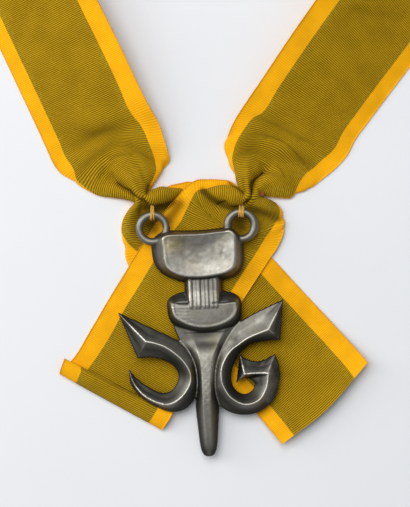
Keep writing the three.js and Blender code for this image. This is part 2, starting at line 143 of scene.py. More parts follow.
def eased(tree, value, low, high, to_low=0.0, to_high=1.0):
    """value taken from low..high to to_low..to_high with soft ends."""
    inputs = {0: value, 1: low, 2: high, 3: to_low, 4: to_high}
    return add_node(
        tree, "ShaderNodeMapRange", inputs, interpolation_type="SMOOTHSTEP").outputs[0]


def object_place(tree):
    return add_node(tree, "ShaderNodeTexCoord").outputs["Object"]


def scaled(tree, place, scale):
    return add_node(tree, "ShaderNodeMapping", {"Vector": place, "Scale": scale}).outputs[0]


def noise_at(tree, place, scale, detail=3.0, roughness=0.5):
    inputs = {"Vector": place, "Scale": scale, "Detail": detail, "Roughness": roughness}
    return add_node(tree, "ShaderNodeTexNoise", inputs).outputs[0]


def number_of(tree, name):
    """A number that is kept on the mesh, corner by corner."""
    return add_node(tree, "ShaderNodeAttribute", attribute_name=name).outputs["Fac"]


def bump(tree, height, strength, deep):
    inputs = {"Height": height, "Strength": strength, "Distance": deep}
    return add_node(tree, "ShaderNodeBump", inputs).outputs[0]


# %% [markdown]
# ### Table top
# The badge lies on plain pale paper. A real sheet is never one even tone, so a faint mottle is mixed
# from two close greys.

# %% Pale table top
TABLE_HALF = 1.6        # metres
PAPER_DARK, PAPER_LIGHT = (0.80, 0.81, 0.83, 1), (0.83, 0.84, 0.855, 1)


def table_top():
    h = TABLE_HALF
    mesh = bpy.data.meshes.new("table_top")
    mesh.from_pydata([(-h, -h, 0), (h, -h, 0), (h, h, 0), (-h, h, 0)], [], [(0, 1, 2, 3)])
    material, tree, shader = new_material("pale_paper")
    mottle = noise_at(tree, object_place(tree), 30.0)
    colour = colour_mix(tree, mottle, PAPER_DARK, PAPER_LIGHT)
    plug(tree, shader, {"Base Color": colour, "Roughness": 0.9})
    mesh.materials.append(material)
    return add_object("table_top", mesh)


table_top()

# %% [markdown]
# ## Light
# A badge like this is best shown under one large soft light overhead, a little to the left, with a
# second one low on the left. The flat faces of polished metal show what is above them, so the big
# light makes them bright; slopes show what stands at the sides, so the low light picks out those
# that face it and leaves the others dark. The room itself only fills the shadows.

# %% Soft lights
LIGHTS = [  # name, place from the middle of the view and size in metres, and watts
    ("overhead_box", (-0.28, 0.38, 1.00), (1.0, 0.8), 9.3),
    ("low_window", (-0.95, 0.32, 0.42), (0.5, 0.8), 5.0),
]
ROOM_COLOUR, ROOM_BRIGHT = (0.93, 0.96, 1.0, 1), 0.33

for name, away, size, power in LIGHTS:
    lamp = bpy.data.lights.new(name, "AREA")
    lamp.shape = "RECTANGLE"
    lamp.size, lamp.size_y = size
    lamp.energy = power
    light = add_object(name, lamp)
    light.location = MIDDLE + Vector(away)
    light.rotation_euler = (MIDDLE - light.location).to_track_quat("-Z", "Y").to_euler()

world = bpy.data.worlds.new("pale_room")
world.use_nodes = True
background = world.node_tree.nodes["Background"]
plug(world.node_tree, background, {"Color": ROOM_COLOUR, "Strength": ROOM_BRIGHT})
bpy.context.scene.world = world
print("lights:", len(LIGHTS))

# %% [markdown]
# ## The badge
# The real badge is one casting: a dished head block, a short ribbed neck, a round boss, a stem
# that runs to a point and two hooked arms with a sharp ridge along them. Each of these is a loft,
# that is a skin through a row of cross-sections. The lofts overlap, and a voxel remesh melts them
# into a single surface whose corners are slightly soft, as a sand casting's are. Drawing the
# joints by hand would take longer and look too crisp.


# %% Curves and lofts
def between(t, start, end, a, b):
    return (end - t) / (end - start) * a + (t - start) / (end - start) * b


def through(points, steps, closed=False):
    """Points on a smooth curve (centripetal Catmull-Rom) through the given ones."""
    points = np.asarray(points, dtype=float)
    if closed:
        p = np.concatenate([points[-1:], points, points[:2]])
    else:
        before, after = 2 * points[0] - points[1], 2 * points[-1] - points[-2]
        p = np.concatenate([[before], points, [after]])
    result = []
    for p0, p1, p2, p3 in zip(p, p[1:], p[2:], p[3:]):
        pairs = ((p0, p1), (p1, p2), (p2, p3))
        gaps = [max(np.linalg.norm(b - a) ** 0.5, 1e-4) for a, b in pairs]
        t0, t1, t2, t3 = np.cumsum([0, *gaps])
        for t in t1 + (t2 - t1) * np.arange(steps) / steps:
            a1 = between(t, t0, t1, p0, p1)
            a2 = between(t, t1, t2, p1, p2)
            a3 = between(t, t2, t3, p2, p3)
            b1 = between(t, t0, t2, a1, a2)
            b2 = between(t, t1, t3, a2, a3)
            result.append(between(t, t1, t2, b1, b2))
    if not closed:
        result.append(points[-1])
    return np.array(result)


class Lofts:
    """Collects closed skins, to be melted together later."""

    def __init__(self):
        self.points, self.faces = [], []

    def skin(self, sections):
        sections = np.asarray(sections, dtype=float)
        rows, around = sections.shape[:2]
        start = len(self.points)
        self.points.extend(sections.reshape(-1, 3).tolist())
        ends = [sections[0].mean(axis=0), sections[-1].mean(axis=0)]
        self.points.extend(point.tolist() for point in ends)
        first, last = start + rows * around, start + rows * around + 1
        for i in range(rows - 1):
            for j in range(around):
                k = (j + 1) % around
                a, b = start + i * around, start + (i + 1) * around
                self.faces.append((a + j, a + k, b + k, b + j))
        for j in range(around):
            k = (j + 1) % around
            self.faces.append((first, start + k, start + j))
            self.faces.append((last, last - 1 - around + j, last - 1 - around + k))


badge_lofts = Lofts()

# %% [markdown]
# ### Head and boss
# Both are raised blocks. A block has an outline with an upright edge, then a bevel up to its face.
# The pairs give a point of the face and the point of the outline below it. The head's face is
# slightly dished and has a fine raised rim, left by polishing.

# %% Head and boss outlines
EDGE = 1.5              # height of the upright edge of the casting
HEAD_FACE, HEAD_DISH, BOSS_FACE = 5.6, 0.45, 4.8
RIM, RIM_FOOT = 0.07, 0.05                      # how far the rim rises, and the drop inside it
BEVEL = ((0.3, -0.12), (0.65, -0.1))            # share of the way up, and the bevel's hollow there
DISHED = ((0.3, 0.45), (0.6, 0.85), (0.97, 1))  # share of the way in, and of the dish's depth
HEAD = [
    (-11.7, 6.2, -15.3, 5.6), (-10.7, 6.9, -11.0, 8.7), (-8.7, 7.1, -8.8, 8.6),
    (0.6, 7.0, 0.7, 8.3), (8.0, 7.5, 8.6, 8.8), (11.0, 7.5, 10.4, 9.0), (12.1, 6.1, 14.7, 4.6),
    (12.2, 1.5, 14.9, 1.0), (11.9, -2.9, 14.7, -3.0), (11.1, -4.8, 13.8, -5.6),
    (8.7, -6.1, 11.0, -7.8), (5.0, -6.9, 5.9, -8.9), (0.0, -7.3, -0.1, -9.3),
    (-5.0, -6.8, -5.4, -8.8), (-8.3, -5.6, -9.6, -7.3), (-10.5, -3.9, -13.0, -5.1),
    (-11.4, -1.8, -14.9, -2.3), (-11.7, 2.2, -15.6, 1.5),
]
BOSS = [
    (-9.7, -15.6, -11.0, -14.5), (-7.1, -16.2, -8.2, -12.6), (-4.0, -16.4, -4.9, -11.9),
    (1.0, -16.5, 1.2, -11.5), (5.6, -16.4, 7.8, -12.3), (9.6, -16.3, 11.1, -13.2),
    (11.6, -16.2, 13.0, -15.0), (11.7, -18.5, 13.4, -18.3), (10.8, -20.5, 12.9, -21.6),
    (8.7, -22.1, 10.6, -24.2), (5.3, -23.4, 6.4, -25.8), (0.6, -23.9, 0.7, -26.3),
    (-3.4, -23.2, -4.2, -25.6), (-6.7, -21.7, -8.4, -23.6), (-8.9, -20.0, -10.6, -21.2),
    (-9.6, -17.9, -11.3, -17.8),
]


def raised_block(pairs, face_height, dish):
    pairs = np.array(pairs)
    face = through(pairs[:, :2], 8, closed=True)
    foot = through(pairs[:, 2:], 8, closed=True)
    centre = face.mean(axis=0)

    def ring(flat, height):
        return np.column_stack([flat, np.full(len(flat), height)])

    rings = [ring(foot, 0), ring(foot, EDGE)]
    for share, bulge in BEVEL:
        height = EDGE + (face_height - EDGE) * share + bulge
        rings.append(ring(foot + (face - foot) * share, height))
    rings.append(ring(face, face_height))
    drops = [(0.05, -RIM), (0.1, RIM_FOOT), *((inward, deep * dish) for inward, deep in DISHED)]
    for inward, drop in drops:
        rings.append(ring(face + (centre - face) * inward, face_height - drop))
    badge_lofts.skin(rings)


raised_block(HEAD, HEAD_FACE, HEAD_DISH)
raised_block(BOSS, BOSS_FACE, 0.0)
print("head and boss:", len(badge_lofts.faces), "faces")

# %% [markdown]
# ### Neck and stem
# The neck is a bar with seven narrow ribs along its top, and its end runs up onto the boss. The
# stem is a bar with a flat top and sloping sides that narrows to the badge's point.

# %% Neck and stem sections
NECK_FACE, NECK_RIBS, RIB_DEEP = 4.25, 7, 0.4
NECK_TOP, NECK_FOOT = (-3.9, 5.8), (-5.3, 7.4)  # left and right
NECK_HEIGHTS = [  # y, height of the top
    (-4.5, NECK_FACE), (-12, NECK_FACE), (-15.6, 4.9), (-16.8, 5.05), (-17.6, 4.95), (-18.1, 4.4),
]
STEM = [  # y, left foot, top's left and right edge, right foot, height of the top
    (-23.0, -9.6, -6.2, 8.2, 11.6, 2.6), (-26.0, -8.6, -4.8, 7.0, 10.4, 2.5),
    (-28.6, -7.4, -3.0, 5.4, 9.0, 2.9), (-32.4, -5.0, -1.8, 3.6, 6.3, 4.1),
    (-36.7, -3.2, -1.0, 2.7, 4.4, 4.5), (-45.0, -2.8, -0.9, 1.9, 3.8, 4.4),
    (-50.4, -3.3, -0.9, 1.8, 4.4, 4.2), (-57.0, -2.9, -0.8, 1.7, 3.9, 3.8),
    (-63.0, -2.4, -0.5, 1.4, 3.3, 3.3), (-65.3, -1.9, -0.1, 1.1, 2.7, 2.6),
    (-66.5, -1.1, 0.1, 0.9, 1.9, 2.2), (-66.9, -0.2, 0.4, 0.6, 1.1, 1.7),
]


def neck_section(y, top):
    across = np.linspace(*NECK_TOP, NECK_RIBS * 8 + 1)
    turns = np.linspace(0, NECK_RIBS * math.pi, NECK_RIBS * 8 + 1)
    wave = np.abs(np.sin(turns + 0.35 * np.sin(turns * 0.9 + 1.0))) ** 0.7
    deep = RIB_DEEP * (0.75 + 0.25 * np.sin(across * 2.1))
    ribs = [(x, y, top - d * (1 - w)) for x, w, d in zip(across, wave, deep)]
    left, right = NECK_FOOT
    return ribs + [(right, y, EDGE), (right, y, 0), (left, y, 0), (left, y, EDGE)]


def stem_section(row):
    y, left, top_left, top_right, right, top = row
    feet = [(right, y, 0), (left, y, 0), (left, y, EDGE)]
    return feet + [(top_left, y, top), (top_right, y, top), (right, y, EDGE)]


def curved(sections, steps):
    """More cross-sections, on smooth curves through the corners of the given ones."""
    tracks = np.array(sections)
    return np.stack([through(tracks[:, k], steps) for k in range(tracks.shape[1])], axis=1)


badge_lofts.skin([neck_section(y, top) for y, top in NECK_HEIGHTS])
badge_lofts.skin(curved([stem_section(row) for row in STEM], 5))

# %% [markdown]
# ### Hooked arms
# An arm's cross-section is two slopes that meet in a ridge. Each row lists the outer foot, the
# ridge and the inner foot as seen from above, and how high the ridge stands there. The slopes are
# hollowed a little, so that the ridge catches the light as a thin bright line.

# %% Arm sections
RIDGE = 4.5
HOLLOW = 0.22           # how far the slopes are hollowed at their middle
LEFT_TIP = (-27.8, -17.8, -27.8, -17.8, -27.8, -17.8, 0.1)
LEFT_HOOK = [
    (-17.4, -23.2, -18.9, -27.8, -21.9, -33.4, 1.0),
    (-14.1, -24.9, -16.0, -28.5, -17.8, -33.2, 1.0),
    (-10.2, -26.9, -12.4, -30.0, -14.5, -33.9, 1.0), (-5.7, -29.8, -8.8, -32.8, -11.6, -35.2, 1.0),
    (-2.5, -34.3, -6.3, -35.6, -9.7, -36.9, 1.0), (-1.8, -39.0, -4.6, -39.2, -8.6, -39.3, 1.0),
    (-2.0, -44.3, -4.9, -42.5, -8.9, -41.6, 1.0), (-6.0, -50.3, -8.6, -47.3, -11.3, -44.6, 0.95),
    (-10.9, -51.7, -12.9, -49.0, -14.1, -45.2, 0.9),
    (-19.2, -47.9, -19.8, -46.2, -18.8, -42.9, 0.7),
    (-24.3, -42.3, -23.5, -41.6, -22.7, -39.8, 0.4),
    (-25.1, -36.9, -25.0, -36.8, -24.8, -36.9, 0.05),
]
RIGHT_TIP = (27.3, -15.9, 27.3, -15.9, 27.3, -15.9, 0.1)
RIGHT_HOOK = [
    (16.8, -20.4, 21.9, -25.7, 25.7, -29.2, 1.0), (10.9, -23.8, 15.1, -28.2, 17.3, -30.0, 1.0),
    (7.1, -28.0, 12.0, -30.1, 14.3, -31.3, 1.0), (4.5, -32.6, 8.9, -32.3, 11.8, -33.4, 1.0),
    (2.5, -39.2, 5.9, -37.5, 9.5, -37.8, 1.0), (2.3, -45.8, 5.8, -42.6, 8.9, -42.4, 1.0),
    (5.9, -51.3, 8.4, -47.5, 10.3, -45.4, 1.0), (11.6, -53.6, 13.1, -50.1, 13.1, -46.8, 1.0),
    (18.0, -52.8, 17.5, -49.0, 15.6, -45.7, 1.0), (23.2, -48.1, 20.3, -45.0, 16.6, -43.6, 1.0),
    (25.2, -40.8, 21.2, -40.2, 15.3, -41.9, 1.0),
]
RIGHT_TAIL = [  # a fish tail with a hollowed top edge
    (24.9, -37.6, 21.2, -40.2, 15.2, -41.8, 1.0), (23.8, -33.9, 21.0, -40.2, 14.8, -41.7, 1.0),
    (20.4, -35.6, 19.2, -40.1, 14.1, -41.6, 0.95), (18.1, -36.2, 17.2, -40.0, 13.1, -41.6, 0.95),
    (16.1, -35.9, 15.6, -40.0, 11.9, -41.9, 0.95), (13.8, -35.0, 14.2, -40.1, 10.9, -42.5, 0.95),
    (12.0, -33.6, 13.3, -40.1, 10.3, -43.2, 1.0),
]


def arm_section(row):
    outer, ridge, inner = np.array(row[0:2]), np.array(row[2:4]), np.array(row[4:6])
    top = EDGE + (RIDGE - EDGE) * row[6]
    halfway = (EDGE + top) / 2 - HOLLOW * row[6]
    return [
        (*outer, 0), (*outer, EDGE), (*(outer + ridge) / 2, halfway), (*ridge, top),
        (*(inner + ridge) / 2, halfway), (*inner, EDGE), (*inner, 0),
    ]


def arm(tip, hook, tail=()):
    parts = [[arm_section(tip)], curved([arm_section(row) for row in hook], 6)]
    if tail:
        parts.append([arm_section(row) for row in tail])
    badge_lofts.skin(np.concatenate(parts))


arm(LEFT_TIP, LEFT_HOOK)
arm(RIGHT_TIP, RIGHT_HOOK, RIGHT_TAIL)

# %% [markdown]
# ### Two cast rings
# The rings don't turn. They are one with the head's shoulders, so they are lofted like the rest and
# melted into it. Each is a round wire in a circle, a trace thicker in some places than in others.

# %% Rings
RING, WIRE = 4.5, 1.3           # radius of a ring and of its wire
RING_HIGH, WIRE_UNEVEN = 2.2, 0.06          # height of its middle, and how much the wire varies
RINGS = {"left": (-14.9, 9.5), "right": (14.4, 9.2)}


def cast_ring(centre, count=72, around=20):
    start = len(badge_lofts.points)
    for a in np.linspace(0, 2 * math.pi, count, endpoint=False):
        thick = WIRE * (1 + WIRE_UNEVEN * math.sin(2 * a + centre[0]))
        for b in np.linspace(0, 2 * math.pi, around, endpoint=False):
            reach = RING + thick * math.cos(b)
            x, y = centre[0] + reach * math.cos(a), centre[1] + reach * math.sin(a)
            badge_lofts.points.append((x, y, RING_HIGH + thick * math.sin(b)))
    for i in range(count):
        for j in range(around):
            k, n = (j + 1) % around, (i + 1) % count
            a, b = start + i * around, start + n * around
            badge_lofts.faces.append((a + j, b + j, b + k, a + k))


for centre in RINGS.values():
    cast_ring(centre)
print("all lofts:", len(badge_lofts.faces), "faces")

# %% [markdown]
# ### Melting the lofts together
# Voxel remesh fills the lofts' common volume with a grid and skins it again. A voxel of just over
# a quarter of a millimetre keeps the ridges and the neck's ribs and still stays under the size
# limit of a piece.

# %% One casting
VOXEL = 0.27


def melted(lofts, voxel):
    mesh = bpy.data.meshes.new("melt")
    mesh.from_pydata(lofts.points, [], lofts.faces)
    thing = add_object("melt", mesh)
    remesh = thing.modifiers.new("melt", "REMESH")
    remesh.mode = "VOXEL"
    remesh.voxel_size = voxel
    remesh.use_smooth_shade = True
    graph = bpy.context.evaluated_depsgraph_get()
    result = bpy.data.meshes.new_from_object(thing.evaluated_get(graph))
    bpy.data.objects.remove(thing)
    bpy.data.meshes.remove(mesh)
    return result


casting = melted(badge_lofts, VOXEL)
print("casting:", len(casting.vertices), "corners,", len(casting.polygons), "faces")

# %% [markdown]
# ### Marks of the hand
# A cast and hand-finished surface is never quite flat. The head has two small pits. The boss has
# fine file strokes on its left, one chisel line and a lowered top left edge, and the stem has
# faint cross strokes down its middle and a scoop under the boss where the founder's tool pressed
# the mould. The skin is a little uneven everywhere. All of it is moved in the mesh, so it is there
# from every side and in every light.


# %% Reading and writing a mesh's points at once
def points_of(mesh, normals=False):
    flat = np.empty(len(mesh.vertices) * 3)
    mesh.vertices.foreach_get("normal" if normals else "co", flat)
    return flat.reshape(-1, 3)


def set_points(mesh, points):
    mesh.vertices.foreach_set("co", np.ascontiguousarray(points).ravel())
    mesh.update()


def edges_of(mesh):
    flat = np.empty(len(mesh.edges) * 2, dtype=int)
    mesh.edges.foreach_get("vertices", flat)
    return flat.reshape(-1, 2)


def triangles_in(mesh):
    return sum(len(face.vertices) - 2 for face in mesh.polygons)


# %% Shapes of a mark: noise, blob, line and step
def wobble(points, size, seed):
    """Smooth noise from -1 to 1 at each point, with bumps of the given size."""
    shift = Vector((seed, seed, seed))
    return np.array([noise.noise(Vector(p) / size + shift) for p in points.tolist()])


def blob(points, x, y, wide, tall):
    return np.exp(-(((points[:, 0] - x) / wide) ** 2 + ((points[:, 1] - y) / tall) ** 2))


def blobs(points, table):
    """Several blobs added up. Each row is how much, its middle, and how wide and tall it is."""
    return sum(much * blob(points, *place) for much, *place in table)


def near_line(x, y, path, wide):
    """1 on a line through the given points, fading to 0 at about the given distance."""
    nearest = np.full(x.shape, np.inf)
    path = np.array(path, dtype=float)
    for a, b in zip(path, path[1:]):
        way = b - a
        t = np.clip(((x - a[0]) * way[0] + (y - a[1]) * way[1]) / (way @ way), 0, 1)
        distance = np.hypot(x - a[0] - t * way[0], y - a[1] - t * way[1])
        nearest = np.minimum(nearest, distance)
    return np.exp(-((nearest / wide) ** 2))


def soft_step(values, low, high):
    t = np.clip((values - low) / (high - low), 0, 1)
    return t * t * (3 - 2 * t)


# %% The marks, in the mesh
HEAD_FROM = (4.6, -7.5)                             # height and y from which the head's face starts
BOSS_FROM, BOSS_TO = (4.0, -24.5), -14.5            # the same for the boss, and the y where it ends
UNEVEN = [(0.03, 3.2, 3.0), (0.012, 1.1, 7.0)]      # height, size of the bumps, seed
HEAD_UNEVEN = (0.035, 1.7, 21.0)
PITS = [(0.09, 7.7, -0.2, 0.45, 1.3), (0.06, 8.3, 1.6, 0.4, 0.6)]
FILE_STROKE, FILE_GAP = 0.014, 1.15                 # height, and distance from stroke to stroke
CHISEL_DEEP, CHISEL_WIDE, CHISEL_LINE = 0.22, 0.3, [(3.9, -16.2), (8.6, -15.9)]
BOSS_EDGE_DROP, CROSS_STROKE, SCOOP_DEEP = 0.35, 0.02, 0.75
SCOOP = (1.0, -28.2, 4.6, 3.2)                      # middle, how wide and how tall


def marked_by_hand(mesh):
    points = points_of(mesh)
    x, y, z = points.T
    head = (z > HEAD_FROM[0]) & (y > HEAD_FROM[1])
    boss = (z > BOSS_FROM[0]) & (y < BOSS_TO) & (y > BOSS_FROM[1])
    lift = sum(height * wobble(points, size, seed) for height, size, seed in UNEVEN)
    lift -= np.where(head, blobs(points, PITS), 0)
    height, size, seed = HEAD_UNEVEN
    lift += np.where(head, height * wobble(points, size, seed), 0)
    strokes = np.sin(y * 2 * math.pi / FILE_GAP + 0.8 * np.sin(x * 0.9))
    lift += np.where(boss, FILE_STROKE * strokes * soft_step(-x, 2.5, 4.5), 0)
    lift -= np.where(boss, CHISEL_DEEP * near_line(x, y, CHISEL_LINE, CHISEL_WIDE), 0)
    top_left = boss & (y > -17.0) & (x < -4)
    lift -= np.where(top_left, BOSS_EDGE_DROP * soft_step(y, -17.2, -15.4), 0)
    stem = soft_step(-y, 33, 36) * soft_step(y, -52, -48) * np.exp(-(((x - 0.6) / 2.0) ** 2))
    cross = np.maximum(np.sin(3.1 * (x + y) + wobble(points, 2.0, 5.0)), np.sin(2.7 * (x - y)))
    lift += np.where(z > 2.6, CROSS_STROKE * stem * cross, 0)
    lift -= np.where((y < -25.6) & (z > 1.8), SCOOP_DEEP * blob(points, *SCOOP), 0)
    points[:, 2] += lift * np.clip(points_of(mesh, normals=True)[:, 2], 0, 1)
    return points


marked = marked_by_hand(casting)
set_points(casting, marked)
print("marked corners:", len(marked))

# %% [markdown]
# ### Where the metal is worn
# Old pewter is dark in its hollows and bright where hands and cloth rub it. How far a corner
# stands out of the surface round it says which it is. That surface is a smoothed copy of the mesh:
# a few rounds of smoothing find the ridges, and many rounds find what is open to cloth. Both are
# kept on the mesh as numbers that the material reads. Cloth misses some places between the parts,
# so a table lists them and takes the wear away there.


# %% Wear as numbers on the mesh
NEAR, FAR = 6, 24               # rounds of smoothing
WORN_FULL, OPEN_FULL = 0.16, 0.9            # millimetres
SHELTERED = [  # how much less wear, and the distance from a line that it reaches
    (0.90, 1.1, [(-9.7, -15.9), (11.6, -16.3)]),    # between neck and boss
    (0.75, 1.2, [(-10.7, 7.2), (8.0, 7.6)]),        # top of the head
    (0.45, 5.5, [(0.9, -9.5), (0.9, -14.5)]),       # neck
    (0.50, 3.2, [(0.6, -27.0), (0.6, -66.0)]),      # stem
]
RING_WORN, RING_OPEN, BELOW_HEAD_LESS = 0.62, 0.6, 0.35
AROUND_RING, ABOVE_RING = 0.2, 0.15         # what still counts as ring, outside and above its wire


def neighbour_mean(values, edges):
    """Mean of the neighbours' values at each corner."""
    total = np.zeros_like(values)
    count = np.zeros(len(values))
    for a, b in ((0, 1), (1, 0)):
        np.add.at(total, edges[:, a], values[edges[:, b]])
        np.add.at(count, edges[:, a], 1)
    return total / count[:, None]


def standing_out(points, normals, edges, rounds):
    """How far each corner stands out of the surface round it, in millimetres."""
    smooth = points
    for _ in range(rounds):
        smooth = neighbour_mean(smooth, edges)
    return ((points - smooth) * normals).sum(axis=1)


def add_number(mesh, name, values):
    layer = mesh.attributes.new(name, "FLOAT", "POINT")
    layer.data.foreach_set("value", np.ascontiguousarray(values, dtype=np.float32))


casting_edges = edges_of(casting)
casting_normals = points_of(casting, normals=True)
outstand = standing_out(marked, casting_normals, casting_edges, NEAR)
broad = standing_out(marked, casting_normals, casting_edges, FAR)
for values in (outstand, broad):
    print("stands out, mm:", np.percentile(values, [1, 50, 99]).round(3))

# %% What is rubbed and what is sheltered
mark_x, mark_y, mark_z = marked.T
ring_apart = np.min([np.hypot(mark_x - x, mark_y - y) for x, y in RINGS.values()], axis=0)
on_ring = ring_apart < RING + WIRE + AROUND_RING
on_ring &= mark_z < RING_HIGH + WIRE + ABOVE_RING
rubbed = soft_step(mark_z, 2.2, 3.4)
for less, wide, line in SHELTERED:
    rubbed *= 1 - less * near_line(mark_x, mark_y, line, wide)
rubbed *= np.where(on_ring, RING_WORN, 1) * (1 - BELOW_HEAD_LESS * soft_step(mark_y, -9, -7))
reached = np.where(on_ring, 1, 0.25 + 0.75 * soft_step(mark_z, 1.4, 4.1))   # cloth misses the feet
open_to_cloth = 0.5 + np.where(on_ring, RING_OPEN, 1) * broad / OPEN_FULL
add_number(casting, "worn", np.clip(0.5 + outstand * rubbed / WORN_FULL, 0, 1))
add_number(casting, "open", np.clip(open_to_cloth * reached, 0, 1))
add_number(casting, "level", np.clip(casting_normals[:, 2], 0, 1))

# %% [markdown]
# ### Old polish and painted reflection
# Polish has not reached everywhere alike: there is a yellowish stain at the head's left, the boss is
# duller than the head, and one spot on the left arm is rubbed down to a brassy yellow. The head's
# face also carries a painted reflection, darker along its top and brighter towards its right and
# bottom, and a few slopes carry painted reflections as bright streaks. These are broad and soft, so
# a few blobs and lines on the mesh say where they are.

# %% Clouds of polish, painted reflection and stain
POLISH, HEAD_POLISH, RING_POLISH = 0.16, 0.10, -0.03
# Painted reflection on the head's face: darker along its top, brighter towards its right and bottom.
HEAD_REFLECTION_CLOUDS = [  # how much brighter, middle, and how wide and tall
    (-0.23, -1.5, 4.8, 5.4, 2.8), (-0.07, -5.5, 0.5, 4.5, 2.4), (0.15, 5.5, -3.6, 5.0, 2.2),
    (0.09, 10.4, 2.0, 1.8, 5.0), (0.12, -10.4, 3.5, 1.2, 3.0),
]
LOWER_CLOUDS = [
    (0.10, -6.5, -19.5, 2.4, 2.0), (0.14, -1.5, -13.5, 3.4, 3.6), (0.16, 0.2, -40.0, 2.4, 8.0),
    (-0.10, 0.8, -28.5, 4.0, 3.6),
]
STAINS = [
    (0.95, -8.4, 3.8, 3.4, 3.0), (1.0, -4.0, -39.0, 1.0, 2.9), (0.35, 3.8, -28.5, 1.8, 4.5),
    (0.3, 2.6, -52.0, 1.4, 9.0),
]
SLOPE_REFLECTION_STREAKS = [  # how much brighter, how wide, and the line along a slope where the painted reflection lies
    (0.19, 1.7, [(12.6, -26.6), (16.5, -24.4), (20.6, -21.4)]),
    (0.20, 1.3, [(9.2, -29.6), (5.4, -34.6), (4.3, -38.6), (4.6, -43.6)]),
    (0.10, 1.6, [(-14.0, -27.0), (-8.0, -30.6), (-4.4, -35.0)]),
    (0.10, 1.5, [(20.6, -48.6), (23.2, -43.0)]),
]


def polish_and_reflection(points):
    """How bright the flat faces are, from 0 (dull) to 1 (bright): polish, and on the head's face a
    painted reflection.
    """
    on_head = soft_step(points[:, 2], 4.4, 5.0) * soft_step(points[:, 1], -8.5, -7.0)
    tone = POLISH + HEAD_POLISH * on_head + RING_POLISH * (ring_apart < RING + WIRE)
    tone += on_head * blobs(points, HEAD_REFLECTION_CLOUDS) + blobs(points, LOWER_CLOUDS)
    return np.clip(tone * (1 + 0.16 * wobble(points, 1.3, 31.0)), 0, 1)


def stain(points):
    """Where the metal looks yellow, from 0 to 1."""
    patches = 0.15 * soft_step(wobble(points, 4.0, 41.0), 0.1, 0.5)
    return np.clip(blobs(points, STAINS) + patches, 0, 1)


# Painted reflections: bright streaks along a few slopes.
def painted_slope_reflection(points):
    x, y = points[:, 0], points[:, 1]
    lines = [bright * near_line(x, y, path, wide) for bright, wide, path in SLOPE_REFLECTION_STREAKS]
    return np.max(lines, axis=0) * (1 + 0.5 * wobble(points, 1.6, 51.0))


for number in (polish_and_reflection, painted_slope_reflection, stain):
    add_number(casting, number.__name__, number(marked))
print("numbers on the casting:", len(casting.attributes))

# %% [markdown]
# ### Into its place
# The badge hangs a little askew, so it is turned by a few degrees and then moved over the ribbon.

# %% Turned and moved
BADGE_TURN = math.radians(2.58)
BADGE_AT = np.array((-2.0, -0.5, 2.6))


def turned(x, y, angle):
    c, s = math.cos(angle), math.sin(angle)
    return c * x - s * y, s * x + c * y


def badge_to_layout(points):
    x, y, z = np.asarray(points, dtype=float).T
    return np.column_stack([*turned(x, y, BADGE_TURN), z]) + BADGE_AT


marked[:, 2] = np.maximum(marked[:, 2], 0)      # nothing below the badge's flat back
set_points(casting, to_frame(badge_to_layout(marked)))
badge = add_object("badge", casting)

# %% [markdown]
# ### Antique pewter
# The metal is a warm grey. Ridges and rims that stand out are rubbed bright, flat faces are as
# bright as the polish left them, and slopes and hollows keep a dark skin. On the head's face and
# along a few slopes the brightness is partly painted reflection. Roughness goes with it: rubbed
# metal is smoother. Fine grain comes from stretched noise used as bump, far too fine to build.

# %% Pewter material
DARK_SKIN, BRIGHT_METAL = (0.050, 0.047, 0.040, 1), (0.95, 0.91, 0.79, 1)
PIT_DARK, BRASSY = (0.08, 0.07, 0.055, 1), (0.92, 0.78, 0.42, 1)


def pewter():
    material, tree, shader = new_material("antique_pewter")
    place = object_place(tree)
    blotch = noise_at(tree, place, 420.0, 4.0, 0.6)
    speck = noise_at(tree, place, 1500.0, 3.0, 0.7)
    rubbed = eased(tree, number_of(tree, "worn"), 0.60, 1.05, 0.0, 0.56)
    flat = eased(tree, number_of(tree, "level"), 0.80, 0.985)
    # The flat faces' brightness is polish and, on the head's face, painted reflection.
    face = math_node(tree, "MULTIPLY", flat, number_of(tree, "polish_and_reflection"))
    face = math_node(tree, "MULTIPLY", face, eased(tree, blotch, 0.3, 0.65, 0.80, 1.08))
    slope = eased(tree, number_of(tree, "open"), 0.15, 0.70, 0.0, 0.19)
    # Painted reflection streaks on the slopes are added to their brightness here.
    slope = math_node(tree, "ADD", slope, number_of(tree, "painted_slope_reflection"))
    shine = math_node(tree, "MAXIMUM", math_node(tree, "MAXIMUM", face, slope), rubbed)
    colour = colour_mix(tree, shine, DARK_SKIN, BRIGHT_METAL)
    colour = colour_mix(tree, eased(tree, speck, 0.64, 0.78, 0.0, 0.35), colour, PIT_DARK)
    stained = math_node(tree, "MULTIPLY", number_of(tree, "stain"), 0.85)
    colour = colour_mix(tree, stained, colour, BRASSY, "MULTIPLY")
    rough = math_node(tree, "MULTIPLY_ADD", shine, -0.12, 0.44)
    rough = math_node(tree, "MULTIPLY_ADD", speck, 0.08, rough)
    scratch = noise_at(tree, scaled(tree, place, (0.5, 1.8, 1.0)), 2600.0, 2.0, 0.6)
    grain = bump(tree, math_node(tree, "MULTIPLY_ADD", scratch, 0.5, speck), 0.10, 0.0002)
    plug(tree, shader, {
        "Base Color": colour, "Metallic": 1.0, "Roughness": rough, "Normal": grain})
    return material


casting.materials.append(pewter())
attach(badge, "root")
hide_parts("pendant")
print("badge triangles:", triangles_in(casting))
